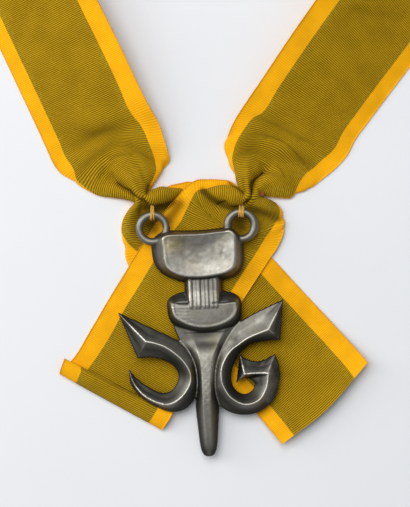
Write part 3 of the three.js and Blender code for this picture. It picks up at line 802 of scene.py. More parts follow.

# %% [markdown]
# ## The ribbon
# The ribbon is one woven strip, 38 mm wide and not quite a metre long. A cloth simulation would have
# to pull it through two stitched gathers, which takes minutes and never falls the same way as the
# real one. The ribbon is laid instead: each row of numbers is one line straight across it, from the
# inner edge (0) to the outer edge (38), and says where that line lies. Between the rows the strip is
# smooth. A row is about as long as the ribbon is wide, so the cloth is hardly stretched, and where
# the ribbon is gathered the spare width goes into folds: the borders are turned under and a soft lip
# stands up.

# %% The rows, walked from the hem to the cut end
RIBBON_WIDE = 38.0
HEM = [
    [(0, -46.3, -37.5, 1.5), (38, -13, -54.2, 1.5)],
    [(0, -46.3, -35.8, 2), (38, -11.2, -52.5, 2)],
    [(0, -46.7, -35, 2.7), (6.2, -41.5, -37.7, 2.8), (33.1, -16.2, -50.8, 2.8),
     (38, -10.8, -52.8, 2.7)],
    [(0, -47, -36, 3.2), (38, -11.2, -53.8, 3.2)],
    [(0, -47.6, -37.7, 3.1), (38, -12.2, -55.5, 3.1)],
    [(0, -48.1, -39.2, 2.2), (38, -13.5, -57.5, 2.2)],
    [(0, -48.3, -39.9, 1.2), (6.2, -43.2, -42.8, 1.2), (38, -14.2, -58.6, 1.2)],
    [(0, -47.7, -39.2, 0.4), (38, -14, -57.8, 0.4)],
]

TAIL_UP = [
    [(0, -43.8, -35, 0.3), (38, -11.7, -52.8, 0.3)],
    [(0, -38, -25.5, 0.3), (33.1, -8.5, -42.5, 0.3), (38, -4.8, -44.7, 0.3)],
    [(0, -31.7, -14.8, 0.3), (19, -15.7, -24.7, 1.2), (38, 0.3, -34.5, 0.3)],
    [(0, -27, -7.2, 1.1), (19, -11, -17.2, 2), (38, 5.2, -27.2, 1.2)],
    [(0, -22.7, 0, 1.3), (19, -6.2, -9.5, 2.1), (38, 10.3, -19.2, 1.3)],
    [(0, -19, 5.7, 1.3), (19, -2.3, -3.5, 2.1), (38, 14.3, -12.8, 1.3)],
    [(0, -15.7, 10.7, 1.3), (19, 1.2, 1.9, 2), (38, 18.2, -6.8, 1.3)],
    [(0, -13, 14.3, 1.3), (6.2, -7.8, 11.2, 1.3), (19, 4.2, 5.7, 1.7), (33.1, 17.1, 0.4, 1.3),
     (38, 21.8, -1.3, 1.3)],
    [(0, -10.2, 17.8, 1.5), (6.2, -6, 15, 1.4), (19, 6.8, 8.8, 1.3), (33.1, 18.5, 2.7, 1.3),
     (38, 24.3, 2.5, 1.2)],
    [(0, -7, 21.2, 1.6), (6.2, -4.7, 17.7, 1.9), (12, 0, 14, 1.4), (19, 6.3, 9.5, 1.4),
     (26, 12.8, 6.7, 1.5), (33.1, 20, 5.2, 1.7), (38, 25.9, 6.3, 1.2)],
    [(0, -3.3, 24.2, 1.7), (4, -3, 20.3, 1.7), (5.1, -3, 19.7, 1.6), (6.2, -3, 20.4, 2),
     (8, -2.5, 19, 1.9), (13, -0.3, 14.3, 1.4), (19, 3.3, 10, 1.4), (25, 8.8, 7.2, 1.5),
     (30.6, 16.3, 6.2, 1.7), (33.1, 22.2, 8.2, 2.1), (36.4, 26.3, 9.6, 1.4), (38, 26.1, 10.9, 1)],
    [(0, 0.7, 24.6, 1.7), (3.2, 0.7, 21.3, 1.6), (4.7, 0.7, 20.2, 1.4), (6.2, 0.6, 21.4, 2),
     (8, 0.7, 20, 2.2), (13, 2.3, 15.5, 1.3), (19, 5.7, 11.3, 1.3), (25, 10.7, 8.5, 1.4),
     (30.2, 17.3, 8.5, 1.7), (32, 21.8, 11, 2.3), (32.9, 24.5, 13, 1.8), (33.4, 25.2, 13.4, 1.3),
     (35.6, 25.5, 12.5, 0.9), (38, 25, 11.8, 0.8)],
    [(0, 5, 24.5, 1.6), (1.5, 4.9, 23.2, 1.7), (4.3, 4.7, 21.3, 1.3), (6.4, 4.6, 22.5, 2.2),
     (9, 4.5, 20.8, 3.8), (11.5, 4.8, 18.8, 3.5), (13, 5.3, 17.4, 2.3), (14.5, 5.3, 18, 1.7),
     (16, 5.5, 18.3, 1.4), (19, 6.8, 15.2, 1.3), (24, 10.5, 11, 1.4), (29, 15.7, 10, 1.6),
     (30.8, 19.8, 12, 2.2), (32.1, 22.4, 14.3, 2.6), (32.8, 23.7, 15.6, 1.8),
     (35.2, 23.3, 14.9, 1.1), (38, 22.5, 13.8, 0.9)],
    [(0, 8.7, 23.8, 1.5), (1, 8.7, 23, 1.6), (4.5, 8.5, 21.6, 1.4), (6.6, 8.5, 22.6, 2.4),
     (9, 8.2, 21.2, 4.2), (11.5, 8.3, 19, 4.4), (14, 8.7, 17.2, 3.7), (15.2, 9, 15.9, 2.5),
     (17, 9.3, 16.7, 1.9), (19, 9.7, 17.5, 1.6), (22, 10.5, 15, 1.4), (26, 13.7, 13, 1.5),
     (29, 17.3, 13.3, 2), (30.6, 19.7, 15, 3), (32, 21.3, 16.7, 2.9), (32.6, 21.8, 17.4, 1.9),
     (35.2, 20.8, 16.8, 1.1), (38, 20, 16.2, 0.9)],
    [(0, 12.7, 20.5, 0.9), (5, 12, 21.2, 1.9), (6.5, 11.8, 21.3, 2.8), (9, 11.5, 19.8, 4.5),
     (12, 11.7, 17.8, 4.3), (14, 12, 16.4, 3), (16, 12.5, 17.2, 2), (18.5, 13, 18, 1.6),
     (22, 13.7, 16.3, 1.6), (26, 15.3, 15.7, 2.3), (29, 17, 16.3, 3.2), (31, 18, 17.5, 3.4),
     (32.6, 18.8, 18.7, 2.2), (35.2, 18, 18.2, 1.2), (38, 17, 17.8, 0.8)],
]

GATHER_RIGHT = [
    [(0, 12.8, 19.8, 0.9), (6.5, 12.7, 19.6, 3), (13, 13.7, 19.2, 4.5), (19, 15, 18.8, 4.8),
     (26, 16.3, 18.9, 4.2), (33, 18, 19, 2.6), (38, 17.7, 18.5, 0.8)],
]

STRAP_UP = [
    [(0, 12.7, 19.5, 0.6), (5.2, 12.2, 20.5, 1.2), (6.9, 11.7, 21.2, 2.2), (8.8, 12.1, 21.8, 3.8),
     (12, 13.5, 22.3, 4.8), (16, 14.8, 22.2, 4.4), (18, 15.3, 21.8, 3), (19, 15.4, 21.5, 1.8),
     (22, 14.8, 20.8, 1.2), (25, 15.5, 20.8, 1), (26.6, 16, 21.2, 2.4), (29.2, 17.3, 21.3, 3.8),
     (31.8, 18.7, 20.5, 2.8), (33, 19.1, 19.4, 1.6), (35.2, 18.3, 19.5, 0.8), (38, 17, 19.8, 0.4)],
    [(0, 12.2, 22.2, 0.6), (5.2, 11.2, 23.3, 1), (6.8, 10.5, 24.4, 2), (8.6, 11, 25.2, 3.4),
     (12, 12.8, 25.6, 4.4), (16, 14.7, 25.3, 4.2), (18, 15.7, 24.7, 3.2), (19.3, 16.2, 24.2, 1.6),
     (21.6, 15.3, 23.5, 1), (24.2, 16.3, 23.6, 0.9), (26, 17.3, 24, 2.4), (28.8, 19.3, 23.5, 3.8),
     (31.5, 21.3, 21.7, 3), (33, 22.1, 19.2, 1.6), (35, 21.5, 19.5, 0.7), (38, 19.7, 20.3, 0.4)],
    [(0, 11, 25.2, 0.5), (4.8, 10.4, 26.3, 0.9), (6.5, 10.1, 27.5, 1.8), (8.2, 10.6, 28.3, 3),
     (12, 12.7, 28.8, 3.8), (17, 15.7, 28.4, 3.6), (19.5, 17.5, 27.4, 2.6), (20.8, 18.5, 26.3, 1.2),
     (22.7, 17.7, 25.7, 0.8), (24.8, 18.8, 26, 0.8), (26.6, 20.3, 26.3, 2.2), (29.2, 22.7, 25, 3.6),
     (31.7, 24.7, 21.8, 2.8), (33, 25.3, 18.9, 1.4), (34.9, 24.8, 19.5, 0.6), (38, 23, 20.7, 0.3)],
    [(0, 9.5, 27.8, 0.5), (3.2, 8.5, 29.4, 1), (4.4, 8.1, 30.4, 1.9), (6.2, 9.1, 31.2, 2.6),
     (12, 12.7, 32.2, 3.1), (18, 17, 31.7, 2.9), (22, 20.7, 30, 1.7), (23.7, 22.3, 28.7, 1.2),
     (26.4, 25, 27, 2.3), (29.6, 27.5, 24.2, 2.8), (32, 28.7, 21.3, 1.9), (33.1, 29, 19.2, 1),
     (34.9, 28.5, 19.8, 0.4), (38, 26.7, 21, 0.3)],
    [(0, 8.1, 31.2, 0.4), (1.6, 7.6, 32.4, 1.2), (3, 7.8, 33.2, 2.1), (6.2, 9.5, 34, 2.9),
     (12, 13.3, 34.8, 3), (19, 19, 34.2, 1.7), (26, 25, 31, 1.3), (30, 28.7, 27.5, 1.9),
     (32.9, 31.3, 24, 1.7), (35.4, 32.6, 20.9, 0.8), (36.8, 32.2, 21.2, 0.4),
     (38, 31.2, 21.7, 0.3)],
    [(0, 6.9, 35.3, 0.7), (1.5, 6.7, 36.7, 1.9), (6.2, 10.7, 37.5, 3.2), (12, 15.2, 38.6, 3.2),
     (19, 21.3, 38.3, 2.8), (26, 27.3, 35.5, 2.4), (33.1, 33.8, 26.8, 1.6), (36.6, 36, 23, 0.7),
     (38, 35.4, 22.2, 0.3)],
    [(0, 8.2, 40.5, 3.2), (6.2, 12.9, 41.2, 3.4), (19, 24.3, 38.3, 2), (33.1, 36.2, 28.5, 0.9),
     (38, 40.1, 25.7, 0.3)],
    [(0, 10.5, 45.2, 4.1), (6.2, 15.8, 45, 3.7), (19, 26.5, 40.5, 2.3), (33.1, 39, 31.2, 0.6),
     (38, 43.4, 28.4, 0.3)],
    [(0, 13.3, 49.5, 5.3), (38, 46.3, 31.5, 0.3)],
    [(0, 19, 57.8, 7.2), (38, 50.1, 38.2, 0.3)],
    [(0, 25, 66.8, 8.9), (38, 54.5, 44.2, 0.3)],
]

STRAP_DOWN = [
    [(0, -36, 84.5, 10.4), (38, -68.3, 68.5, 0.3)],
    [(0, -27, 66.2, 9), (38, -60, 50.8, 0.3)],
    [(0, -22.8, 57.2, 8), (38, -55.8, 41.8, 0.3)],
    [(0, -18.8, 49.2, 6.5), (6.2, -24.6, 46.7, 5.3), (19, -35.7, 42, 3.2), (33.1, -48.3, 36.7, 0.8),
     (38, -52.5, 34.5, 0.3)],
    [(0, -15.5, 43.3, 4.8), (6.2, -21.1, 42.2, 4.4), (19, -33, 40.2, 1.7), (33.1, -46.5, 32.3, 0.6),
     (38, -50.3, 29.8, 0.3)],
    [(0, -13.2, 36.3, 3.4), (6.2, -18.5, 36.3, 3.8), (19, -31, 37.2, 2), (33.1, -43.7, 28, 1),
     (38, -46.8, 26, 0.3)],
    [(0, -12, 31.3, 1), (1.2, -12.4, 31.7, 1.7), (6.2, -16.9, 32, 2.6), (13, -23.3, 34.5, 2.3),
     (20, -30.3, 34.5, 1.3), (26.6, -36.3, 30.8, 1.2), (31.4, -41, 25.5, 1),
     (33.8, -42.5, 23.6, 0.7), (35.6, -41.8, 23, 0.4), (38, -40, 22.8, 0.3)],
    [(0, -13.8, 28.6, 0.4), (1.6, -13.5, 30, 1.4), (6.2, -16.6, 30.1, 2.5), (14, -23.7, 33, 2.6),
     (20, -30.4, 30.5, 1.8), (23.5, -32.6, 28, 0.9), (27, -34.8, 25.5, 1.6),
     (30.8, -36.6, 21.7, 1.5), (33, -36.8, 20.1, 0.8), (35, -36.6, 20.2, 0.35),
     (38, -36, 22.3, 0.3)],
    [(0, -16.3, 27.2, 0.4), (2.4, -15.1, 27.2, 0.8), (3.8, -14.5, 27.5, 1.6),
     (6.2, -16.4, 27.6, 2.7), (13, -22, 28.6, 3.6), (18, -27.5, 26.5, 3.2), (20, -29.1, 24.9, 2.5),
     (20.9, -29.6, 24.3, 1.3), (23, -28.3, 25.4, 0.8), (25, -28.8, 24.7, 0.6),
     (27, -29.7, 23.5, 1.7), (30, -30.6, 21.7, 2.8), (31.8, -31, 19.5, 2), (32.8, -31, 18.8, 1.2),
     (34.8, -30.9, 19.5, 0.5), (38, -30.3, 22, 0.3)],
    [(0, -18.8, 24.9, 0.5), (3.2, -17.3, 24.6, 1), (4.8, -16.4, 24.5, 1.8), (6.2, -17.6, 24.5, 2.8),
     (8.2, -18.7, 25.2, 3.8), (13, -22.3, 25.5, 4.6), (17, -25.6, 23.9, 4.1),
     (19, -26.8, 22.8, 3.2), (19.9, -27.2, 22.2, 1.8), (22, -25.9, 23.3, 1.2),
     (25, -26.3, 22.6, 0.9), (27, -26.9, 21.5, 2), (29.5, -27.2, 20.2, 3.3),
     (31.4, -27.1, 18.7, 2.4), (32.5, -26.8, 18.2, 1.4), (35, -26.6, 19.2, 0.6),
     (38, -26, 21, 0.3)],
    [(0, -20.9, 23, 0.6), (3.6, -19.2, 22.7, 1.2), (5.4, -18, 22.2, 2), (6.2, -18.8, 22.4, 2.8),
     (8.6, -19.8, 23.1, 4.2), (13, -22.4, 22.8, 5), (17, -24.3, 21.8, 4.4), (19, -24.8, 21.3, 3.4),
     (20, -25.1, 21, 2), (23, -23.8, 21.6, 1.4), (26, -24.3, 20.7, 1.2), (28.5, -24.5, 19.5, 2.6),
     (31, -24.3, 18.3, 3.2), (33, -23.9, 17.4, 2.4), (35, -24.1, 17.9, 1.2),
     (38, -23.8, 19.8, 0.4)],
]

GATHER_LEFT = [
    [(0, -18.7, 20.8, 0.9), (6.5, -19.3, 20.5, 3.4), (13, -20.3, 19.5, 4.7), (19, -21.3, 18.5, 4.6),
     (26, -22.3, 17.8, 3.8), (33, -23.3, 17, 2.2), (38, -22.7, 16.8, 0.6)],
]

TAIL_DOWN = [
    [(0, -17.3, 20.2, 0.8), (5, -17.7, 20.9, 1.6), (6.5, -17.6, 21.1, 2.6), (9, -17.2, 19.8, 5),
     (12, -17.4, 18, 5.4), (14.2, -18, 16.5, 3.4), (16.2, -18.7, 17.8, 1.8),
     (18.5, -19.2, 18.8, 1.4), (22, -19.3, 16.5, 0.9), (26, -20.7, 15.5, 1.1),
     (28.6, -21.8, 15.7, 3), (31, -23, 15.8, 3.4), (33, -23.7, 16.2, 1.8), (35.5, -23, 16.2, 0.8),
     (38, -21.8, 16.5, 0.4)],
    [(0, -14.7, 21, 0.7), (4.5, -14.7, 21.8, 1.3), (6, -14.6, 22.1, 2.3), (8.5, -14.2, 20.5, 4.8),
     (11, -14.2, 18.5, 5.4), (13.2, -14.7, 16.5, 3.6), (15.2, -15.3, 17.8, 1.8),
     (17.5, -16, 18.8, 1.2), (21, -16, 16.2, 0.7), (25, -18.3, 13.8, 0.5), (28, -21.3, 13.5, 0.9),
     (30, -23, 14, 2.8), (32, -24.7, 14.3, 3.2), (33, -25.2, 14.5, 1.5), (36, -24.3, 14.5, 0.6),
     (38, -23, 14.5, 0.3)],
    [(0, -11.5, 22.6, 0.6), (0.7, -11.4, 22, 0.6), (4, -11.2, 20.8, 0.6), (6.3, -11.2, 21.7, 1.7),
     (8.5, -10.8, 20.5, 3.6), (10.6, -10.9, 18.7, 3.6), (12.2, -11.5, 17.3, 2.2),
     (14.2, -12.2, 18.8, 1.1), (16, -12.3, 19.2, 0.7), (19, -12.3, 16.2, 0.4), (24, -16, 12.5, 0.3),
     (27.6, -19.7, 10.8, 0.4), (30.4, -23.7, 10.5, 2), (32.1, -26, 10.8, 2.8), (33, -27.1, 11, 1.4),
     (35.2, -26, 11.2, 0.5), (38, -24.3, 11.2, 0.3)],
    [(0, -8.3, 23.3, 0.6), (1.5, -8.2, 21.8, 0.6), (4.5, -7.9, 21.2, 0.5), (6.3, -8, 21.5, 0.9),
     (8, -7.7, 20.8, 1.1), (9.5, -7.8, 20, 0.9), (11, -8.3, 19.8, 0.5), (13, -8.7, 19.2, 0.35),
     (20, -11.3, 13.8, 0.3), (26, -16.7, 9.2, 0.3), (30.2, -23, 7.2, 1.3), (32.2, -26.3, 7.5, 2.2),
     (33, -27.5, 7.5, 1.1), (35.4, -26.3, 7.5, 0.4), (38, -25, 7.5, 0.3)],
    [(0, -4.3, 23.7, 0.5), (6.2, -5, 19.2, 0.4), (13, -7.7, 13.8, 0.3), (20, -12, 8.5, 0.3),
     (27, -18, 4.5, 0.3), (31.8, -24, 3.2, 0.9), (33.8, -26.5, 3.8, 1.3), (34.4, -27, 4, 0.7),
     (38, -25.3, 4.2, 0.3)],
    [(0, 1, 20.5, 0.4), (6.2, -1, 16.2, 0.3), (14, -5, 10.5, 0.3), (22, -11, 4.5, 0.3),
     (30, -18.7, 0.5, 0.3), (33.1, -21.8, -0.3, 0.4), (37.5, -26.3, -1.2, 0.5),
     (38, -26.2, -1.2, 0.3)],
    [(0, 5, 16.8, 0.3), (19, -9, 4.8, 0.3), (38, -24.7, -5.8, 0.3)],
    [(0, 8.7, 13.2, 0.3), (19, -6.7, 1.9, 0.9), (38, -22, -9.3, 0.3)],
    [(0, 15, 6.5, 0.3), (19, 0.3, -5.6, 1), (38, -14.3, -17.7, 0.3)],
    [(0, 21.8, -1, 0.3), (38, -6.3, -26.5, 0.3)],
    [(0, 37, -17.5, 0.3), (38, 8.5, -43.2, 0.3)],
    [(0, 46, -27.2, 1.2), (19, 31.7, -40.2, 1.4), (38, 17.5, -53.5, 1)],
    [(0, 51.3, -33, 2.8), (19, 37.5, -47.2, 3.2), (38, 22.5, -59.5, 2.4)],
    [(0, 54, -36.2, 3.9), (19, 40.5, -51.7, 4.1), (38, 25.7, -63.3, 3.3)],
]

# %% [markdown]
# ### Round the neck
# The loop has to bend sideways to go round a neck, and a flat ribbon can't. So it slowly turns up
# on its outer edge after it leaves the straps, and stands on edge round the back. The bend is an
# arc that both straps meet without a corner.

# %% Rows of the neck's bend
NECK_RADIUS, TWIST_LONG, ROW_STEP = 117.0, 120.0, 6.0
STRAP_TILT = 16.0               # degrees that the straps are tilted where they meet the bend
FLOOR = 0.3             # height of the ribbon's middle where it lies on the table
INSET, SAG = 0.5, 0.4           # the outer edge stands inside the arc, and the inner one sinks


def unit(vector):
    return vector / np.linalg.norm(vector)


def outer_end(row):
    return np.array(row[-1][1:3])


def neck_rows():
    right, left = outer_end(STRAP_UP[-1]), outer_end(STRAP_DOWN[0])
    right_way = unit(right - outer_end(STRAP_UP[-2]))
    left_way = unit(left - outer_end(STRAP_DOWN[1]))
    gap = left - right
    t = gap[0] * left_way[1] - gap[1] * left_way[0]
    t /= right_way[0] * left_way[1] - right_way[1] * left_way[0]
    apex = right + t * right_way
    half = math.acos(float(right_way @ left_way)) / 2
    centre = apex + unit(right_way + left_way) * NECK_RADIUS / math.sin(half)
    start = apex + right_way * NECK_RADIUS / math.tan(half) - centre
    length = (math.pi + 2 * half) * NECK_RADIUS
    rows = []
    for along in np.linspace(0, length, round(length / ROW_STEP) + 1)[1:-1]:
        outward = unit(np.array(turned(*start, along / NECK_RADIUS)))
        twist = soft_step(min(along, length - along), 0, TWIST_LONG)
        tilt = math.radians(STRAP_TILT + (90 - STRAP_TILT) * twist)
        outer = centre + outward * (NECK_RADIUS - INSET)
        inner = outer - outward * RIBBON_WIDE * math.cos(tilt)
        high = FLOOR + RIBBON_WIDE * math.sin(tilt) - SAG
        rows.append([(0, *inner, high), (RIBBON_WIDE, *outer, FLOOR)])
    print("neck bend:", len(rows), "rows,", round(length), "mm along its outer edge")
    return rows


WALK = [
    *HEM, *TAIL_UP, *GATHER_RIGHT, *STRAP_UP, *neck_rows(), *STRAP_DOWN, *GATHER_LEFT, *TAIL_DOWN]

# %% [markdown]
# ### From rows to cloth
# A spline across each row and another along the ribbon turn the rows into a fine grid. The grid is
# finest where the cloth is bunched up, wider where it lies flat, and wider still round the back.
# The ribbon's length comes out of the grid, and with it the second number of the weave's map:
# millimetres along the ribbon.


# %% Splines that keep their knots
def eased_through(knots, values, at):
    """Cubic spline through values at uneven knots, read at the places given."""
    knots, values, at = (np.asarray(numbers, float) for numbers in (knots, values, at))
    column = (-1, *[1] * (values.ndim - 1))
    gaps = np.diff(knots)
    steps = np.diff(values, axis=0) / gaps.reshape(column)
    slopes = np.empty_like(values)
    slopes[0], slopes[-1] = steps[0], steps[-1]
    if len(knots) > 2:
        weight = (gaps[:-1] / (gaps[:-1] + gaps[1:])).reshape(column)
        slopes[1:-1] = steps[1:] * weight + steps[:-1] * (1 - weight)
    i = np.clip(np.searchsorted(knots, at, side="right") - 1, 0, len(gaps) - 1)
    h = gaps[i].reshape(column)
    t = ((at - knots[i]) / gaps[i]).reshape(column)
    return (
        (2 * t**3 - 3 * t**2 + 1) * values[i] + (t**3 - 2 * t**2 + t) * h * slopes[i]
        + (3 * t**2 - 2 * t**3) * values[i + 1] + (t**3 - t**2) * h * slopes[i + 1]
    )


def distance_along(rows, typical):
    """Millimetres from the first row to each row, as the typical corner of a row travels."""
    gaps = typical(np.linalg.norm(np.diff(rows, axis=0), axis=2), axis=1)
    return np.concatenate([[0], np.cumsum(gaps)])


ACROSS = 66
across = np.linspace(0, RIBBON_WIDE, ACROSS + 1)
coarse = np.array([
    eased_through([k[0] for k in row], [k[1:] for k in row], across) for row in WALK])
knots_along = distance_along(coarse, np.mean)
print("rows laid:", len(coarse))

# %% The fine grid
FINE, PLAIN, ROUGH = 0.45, 1.3, 3.6     # millimetres between rows: gathers, flat cloth, neck
GATHERED = (-41.0, 41.0, -6.0, 44.0)    # where the cloth is bunched up: x from, to, y from, to
BUNCHED_HIGH = 1.6                      # a row there that is nowhere higher lies flat
VIEW_HALF = (76.0, 92.0)    # half the view's width and height, with a margin


def in_view(row):
    return (np.abs(row[:, 0]) < VIEW_HALF[0]).any() and (np.abs(row[:, 1]) < VIEW_HALF[1]).any()


def is_bunched(row):
    x0, x1, y0, y1 = GATHERED
    inside = (row[:, 0] > x0) & (row[:, 0] < x1) & (row[:, 1] > y0) & (row[:, 1] < y1)
    return inside.mean() > 0.6 and row[:, 2].max() > BUNCHED_HIGH


reads = [0.0]
for pair, start, gap in zip(zip(coarse, coarse[1:]), knots_along, np.diff(knots_along)):
    if any(is_bunched(row) for row in pair):
        step = FINE
    else:
        step = PLAIN if any(in_view(row) for row in pair) else ROUGH
    count = max(1, math.ceil(gap / step))
    reads.extend(start + gap * (k + 1) / count for k in range(count))
grid = eased_through(knots_along, coarse, reads)
along = distance_along(grid, np.median)

# %% [markdown]
# ### Soft unevenness
# A ribbon that has been worn is never flat. Broad, shallow swells run through it everywhere, and a
# few creases cross the straps and run out of both gathers. Each crease also carries a painted shade
# that darkens the cloth along it, and a few entries are painted shade alone, with no groove, where
# shade falls under the lips and rings. That painted shade is kept for the material.


# %% Swells and creases
SWELLS = [(0.26, 15.0, 2.0), (0.10, 6.0, 5.0)]      # height, size, seed
FREE_HIGH, LEAST_FREE = 1.2, 0.25       # cloth this far above the table moves freely, and the least
# The second number is how dark the painted shade along a crease is; entries of height 0 are painted
# shade only, under the lips and rings.
CREASES = [  # height (a groove is below 0), how dark, width, and the line it runs along
    (-0.45, 0.35, 0.8, [(-31.3, 31.2), (-29.7, 32.2), (-27.7, 32.7), (-24, 32.8)]),
    (-0.4, 0.3, 0.8, [(-30, 30.2), (-33.3, 27.8), (-35, 25.2)]),
    (-0.7, 0.3, 1.9, [(-31, 25.8), (-29, 25.2), (-27, 23.5)]),
    (-0.6, 1, 0.45, [(-29, 23.2), (-26.7, 21.8), (-24.7, 21.2), (-23, 19.2), (-21, 17.8)]),
    (0.45, 0, 1.3, [(-28, 25.2), (-25.3, 23.5), (-23, 21.8)]),
    (-0.4, 0.25, 3.2, [(-50, 41.2), (-40, 39.8), (-30, 38.5)]),
    (-0.3, 0.3, 0.8, [(-23, 30.2), (-21.3, 27.5), (-20, 24.2)]),
    (-0.25, 0.25, 0.7, [(-25.7, 28.5), (-24, 26.2), (-22, 23.2)]),
    (-0.6, 0.9, 0.8, [(-18.7, 22.5), (-19.2, 21.2), (-19.3, 19.8)]),
    (-0.2, 0.2, 0.7, [(-19.7, 49.2), (-17, 50.2)]),
    (-0.35, 0.25, 0.8, [(20.3, 38.5), (22.3, 38.2), (26, 37.2)]),
    (-0.25, 0.25, 0.8, [(31.7, 38.2), (33.7, 37.5), (36.3, 36.2)]),
    (-0.5, 0.35, 2.6, [(15, 33.8), (19, 33.5), (23.3, 32.5), (26.7, 31.8), (31.7, 31.2),
     (35, 29.5)]),
    (-0.35, 0.3, 0.7, [(16.7, 31.2), (19, 29.8), (21, 28.8)]),
    (-0.3, 0.45, 0.6, [(24, 29.2), (25.3, 27.8), (26.7, 25.2)]),
    (-0.7, 1, 0.5, [(19.3, 26.8), (17.3, 25.2), (15.3, 23.8), (15, 22.5), (15.3, 20.5),
     (15.3, 18.5), (14, 17.2)]),
    (-0.3, 0.4, 0.8, [(12.7, 24.5), (12.8, 22.5), (13.3, 20.5)]),
    (0.35, 0, 1.4, [(13.7, 29.2), (14, 26.5), (14, 23.8)]),
    (-0.45, 0.35, 2.2, [(50, 81.2), (55.7, 79.8), (65, 78.5)]),
    (-0.2, 0.5, 0.6, [(17.7, 21.2), (18.7, 19.8), (20, 19.5)]),
    (-0.3, 0.8, 0.6, [(8, 23.5), (10.3, 21.8), (12.7, 20.2)]),
    (-0.1, 0.9, 1.5, [(15, 15.2), (17.7, 14.2), (21.7, 12.8), (24.3, 11.5)]),
    (-0.1, 1, 1.3, [(-0.7, 20.8), (2, 18.5), (5.7, 16.3), (9, 15), (12, 14.8)]),
    (-0.45, 0.6, 1, [(-21.7, 15.5), (-22, 11.2), (-23, 7.2)]),
    (0, 1, 1.5, [(-19.7, 15.2), (-16.7, 15), (-13, 15.5), (-10.3, 16.8)]),
    (0, 0.85, 2.2, [(-8.6, 16.4), (-10.3, 13.8), (-12, 11.4)]),
    (0, 0.5, 1.4, [(-19, 16.2), (-20.7, 13.5), (-21.7, 10.5)]),
    (0, 0.9, 2.8, [(-17.5, 9.2), (-17, 8.2)]),
    (0, 0.9, 2.8, [(11.8, 10.5), (11.8, 9.2)]),
]


def relief(grid):
    """Height to add to the cloth, and how much painted shade the creases give each point."""
    x, y = grid[..., 0], grid[..., 1]
    flat = np.column_stack([x.ravel(), y.ravel(), np.zeros(x.size)])
    swell = sum(height * wobble(flat, size, seed) for height, size, seed in SWELLS)
    swell = swell.reshape(x.shape)
    shade = np.zeros_like(x)
    for height, dark, wide, path in CREASES:
        there = near_line(x, y, path, wide)
        swell += height * there
        shade = np.maximum(shade, there * dark)
    return swell, shade


lift, painted_crease_shade = relief(grid)
free = np.clip((grid[..., 2] - FLOOR) / FREE_HIGH, LEAST_FREE, 1)
grid[..., 2] = np.maximum(grid[..., 2] + lift * free, FLOOR)
print("creased corners:", int((painted_crease_shade > 0.2).sum()), "of", painted_crease_shade.size)

# %% [markdown]
# ### A closed strip
# The strip gets its thickness by moving the grid about half a millimetre apart along its normals
# and closing the rim, so it is a real solid with a front, a back and edges. The selvedges are a
# trace thicker.

# %% Two faces and a rim
WALL, SELVEDGE, SELVEDGE_WIDE = 0.45, 0.12, 0.5


def strip_mesh(name, grid, across, along, painted_crease_shade):
    down, side = np.gradient(grid, axis=0), np.gradient(grid, axis=1)
    normal = np.cross(side, down)
    normal /= np.maximum(np.linalg.norm(normal, axis=2, keepdims=True), 1e-9)
    edge = np.exp(-np.minimum(across, RIBBON_WIDE - across) / SELVEDGE_WIDE)
    half = (WALL + SELVEDGE * edge)[None, :, None] / 2
    rows, columns = grid.shape[:2]
    points = np.concatenate([grid + normal * half, grid - normal * half]).reshape(-1, 3)
    index = np.arange(rows * columns).reshape(rows, columns)
    corners = [index[:-1, :-1], index[:-1, 1:], index[1:, 1:], index[1:, :-1]]
    top = np.stack(corners, axis=-1).reshape(-1, 4)
    bottom = top[:, ::-1] + rows * columns
    rim = np.concatenate([index[:-1, 0], index[-1, :-1], index[:0:-1, -1], index[0, :0:-1]])
    after = np.roll(rim, -1)
    wall = np.stack([after, rim, rim + rows * columns, after + rows * columns], axis=-1)
    faces = np.concatenate([top, bottom, wall])
    mesh = bpy.data.meshes.new(name)
    mesh.from_pydata(to_frame(points).tolist(), [], faces.tolist())
    weave = mesh.uv_layers.new(name="weave")
    place = np.stack(np.broadcast_arrays(across[None, :], along[:, None]), axis=-1).reshape(-1, 2)
    places = np.concatenate([place, place])[faces.ravel()]
    weave.data.foreach_set("uv", np.ascontiguousarray(places, dtype=np.float32).ravel())
    add_number(mesh, "painted_crease_shade", np.concatenate([painted_crease_shade.ravel(), painted_crease_shade.ravel()]))
    mesh.polygons.foreach_set("use_smooth", np.ones(len(faces), dtype=bool))
    mesh.update()
    return mesh


ribbon_mesh = strip_mesh("ribbon", grid, across, along, painted_crease_shade)
ribbon = add_object("ribbon", ribbon_mesh)
print("ribbon triangles:", triangles_in(ribbon_mesh))

# %% [markdown]
# ### Grosgrain
# Grosgrain is woven with thick weft cords, which show as fine ribs straight across. The map holds
# millimetres, so a rib is one wave along the ribbon, whatever way the ribbon turns, and the two
# yellow borders are bands across it. Where a border meets the middle, single cords cross over, which
# makes a ragged line and a band of speckles beside it. The ribs' colour is painted shade in the
# grooves between the cords and painted light on their crowns.

# %% Ribbon material
RIB = 0.62
BORDER_IN, BORDER_OUT = 6.2, 4.9        # widths of the yellow borders
BORDER_SOFT = 0.15              # blur of a border's line
SPECKLED = (1.2, 2.6)           # how far past a border the speckles begin to thin out, and end
# The dark and light olive and yellow follow the rib wave: painted shade in the grooves and painted
# light on the crowns.
OLIVE_GROOVE_SHADE, OLIVE_CROWN_LIGHT = (0.105, 0.050, 0.001, 1), (0.640, 0.380, 0.006, 1)
OLIVE_CORD, OLIVE_SPECK = (0.30, 0.185, 0.008, 1), (0.40, 0.30, 0.03, 1)
YELLOW_GROOVE_SHADE, YELLOW_CROWN_LIGHT = (0.93, 0.37, 0.003, 1), (1.0, 0.52, 0.008, 1)
YELLOW_CORD = (0.93, 0.40, 0.004, 1)


def beside_borders(tree, place, near, far):
    """1 up to near millimetres past the line of either border, and 0 from far on."""
    outer_line = RIBBON_WIDE - BORDER_OUT
    inner = eased(tree, place, BORDER_IN + near, BORDER_IN + far, 1.0, 0.0)
    outer = eased(tree, place, outer_line - far, outer_line - near)
    return math_node(tree, "MAXIMUM", inner, outer)


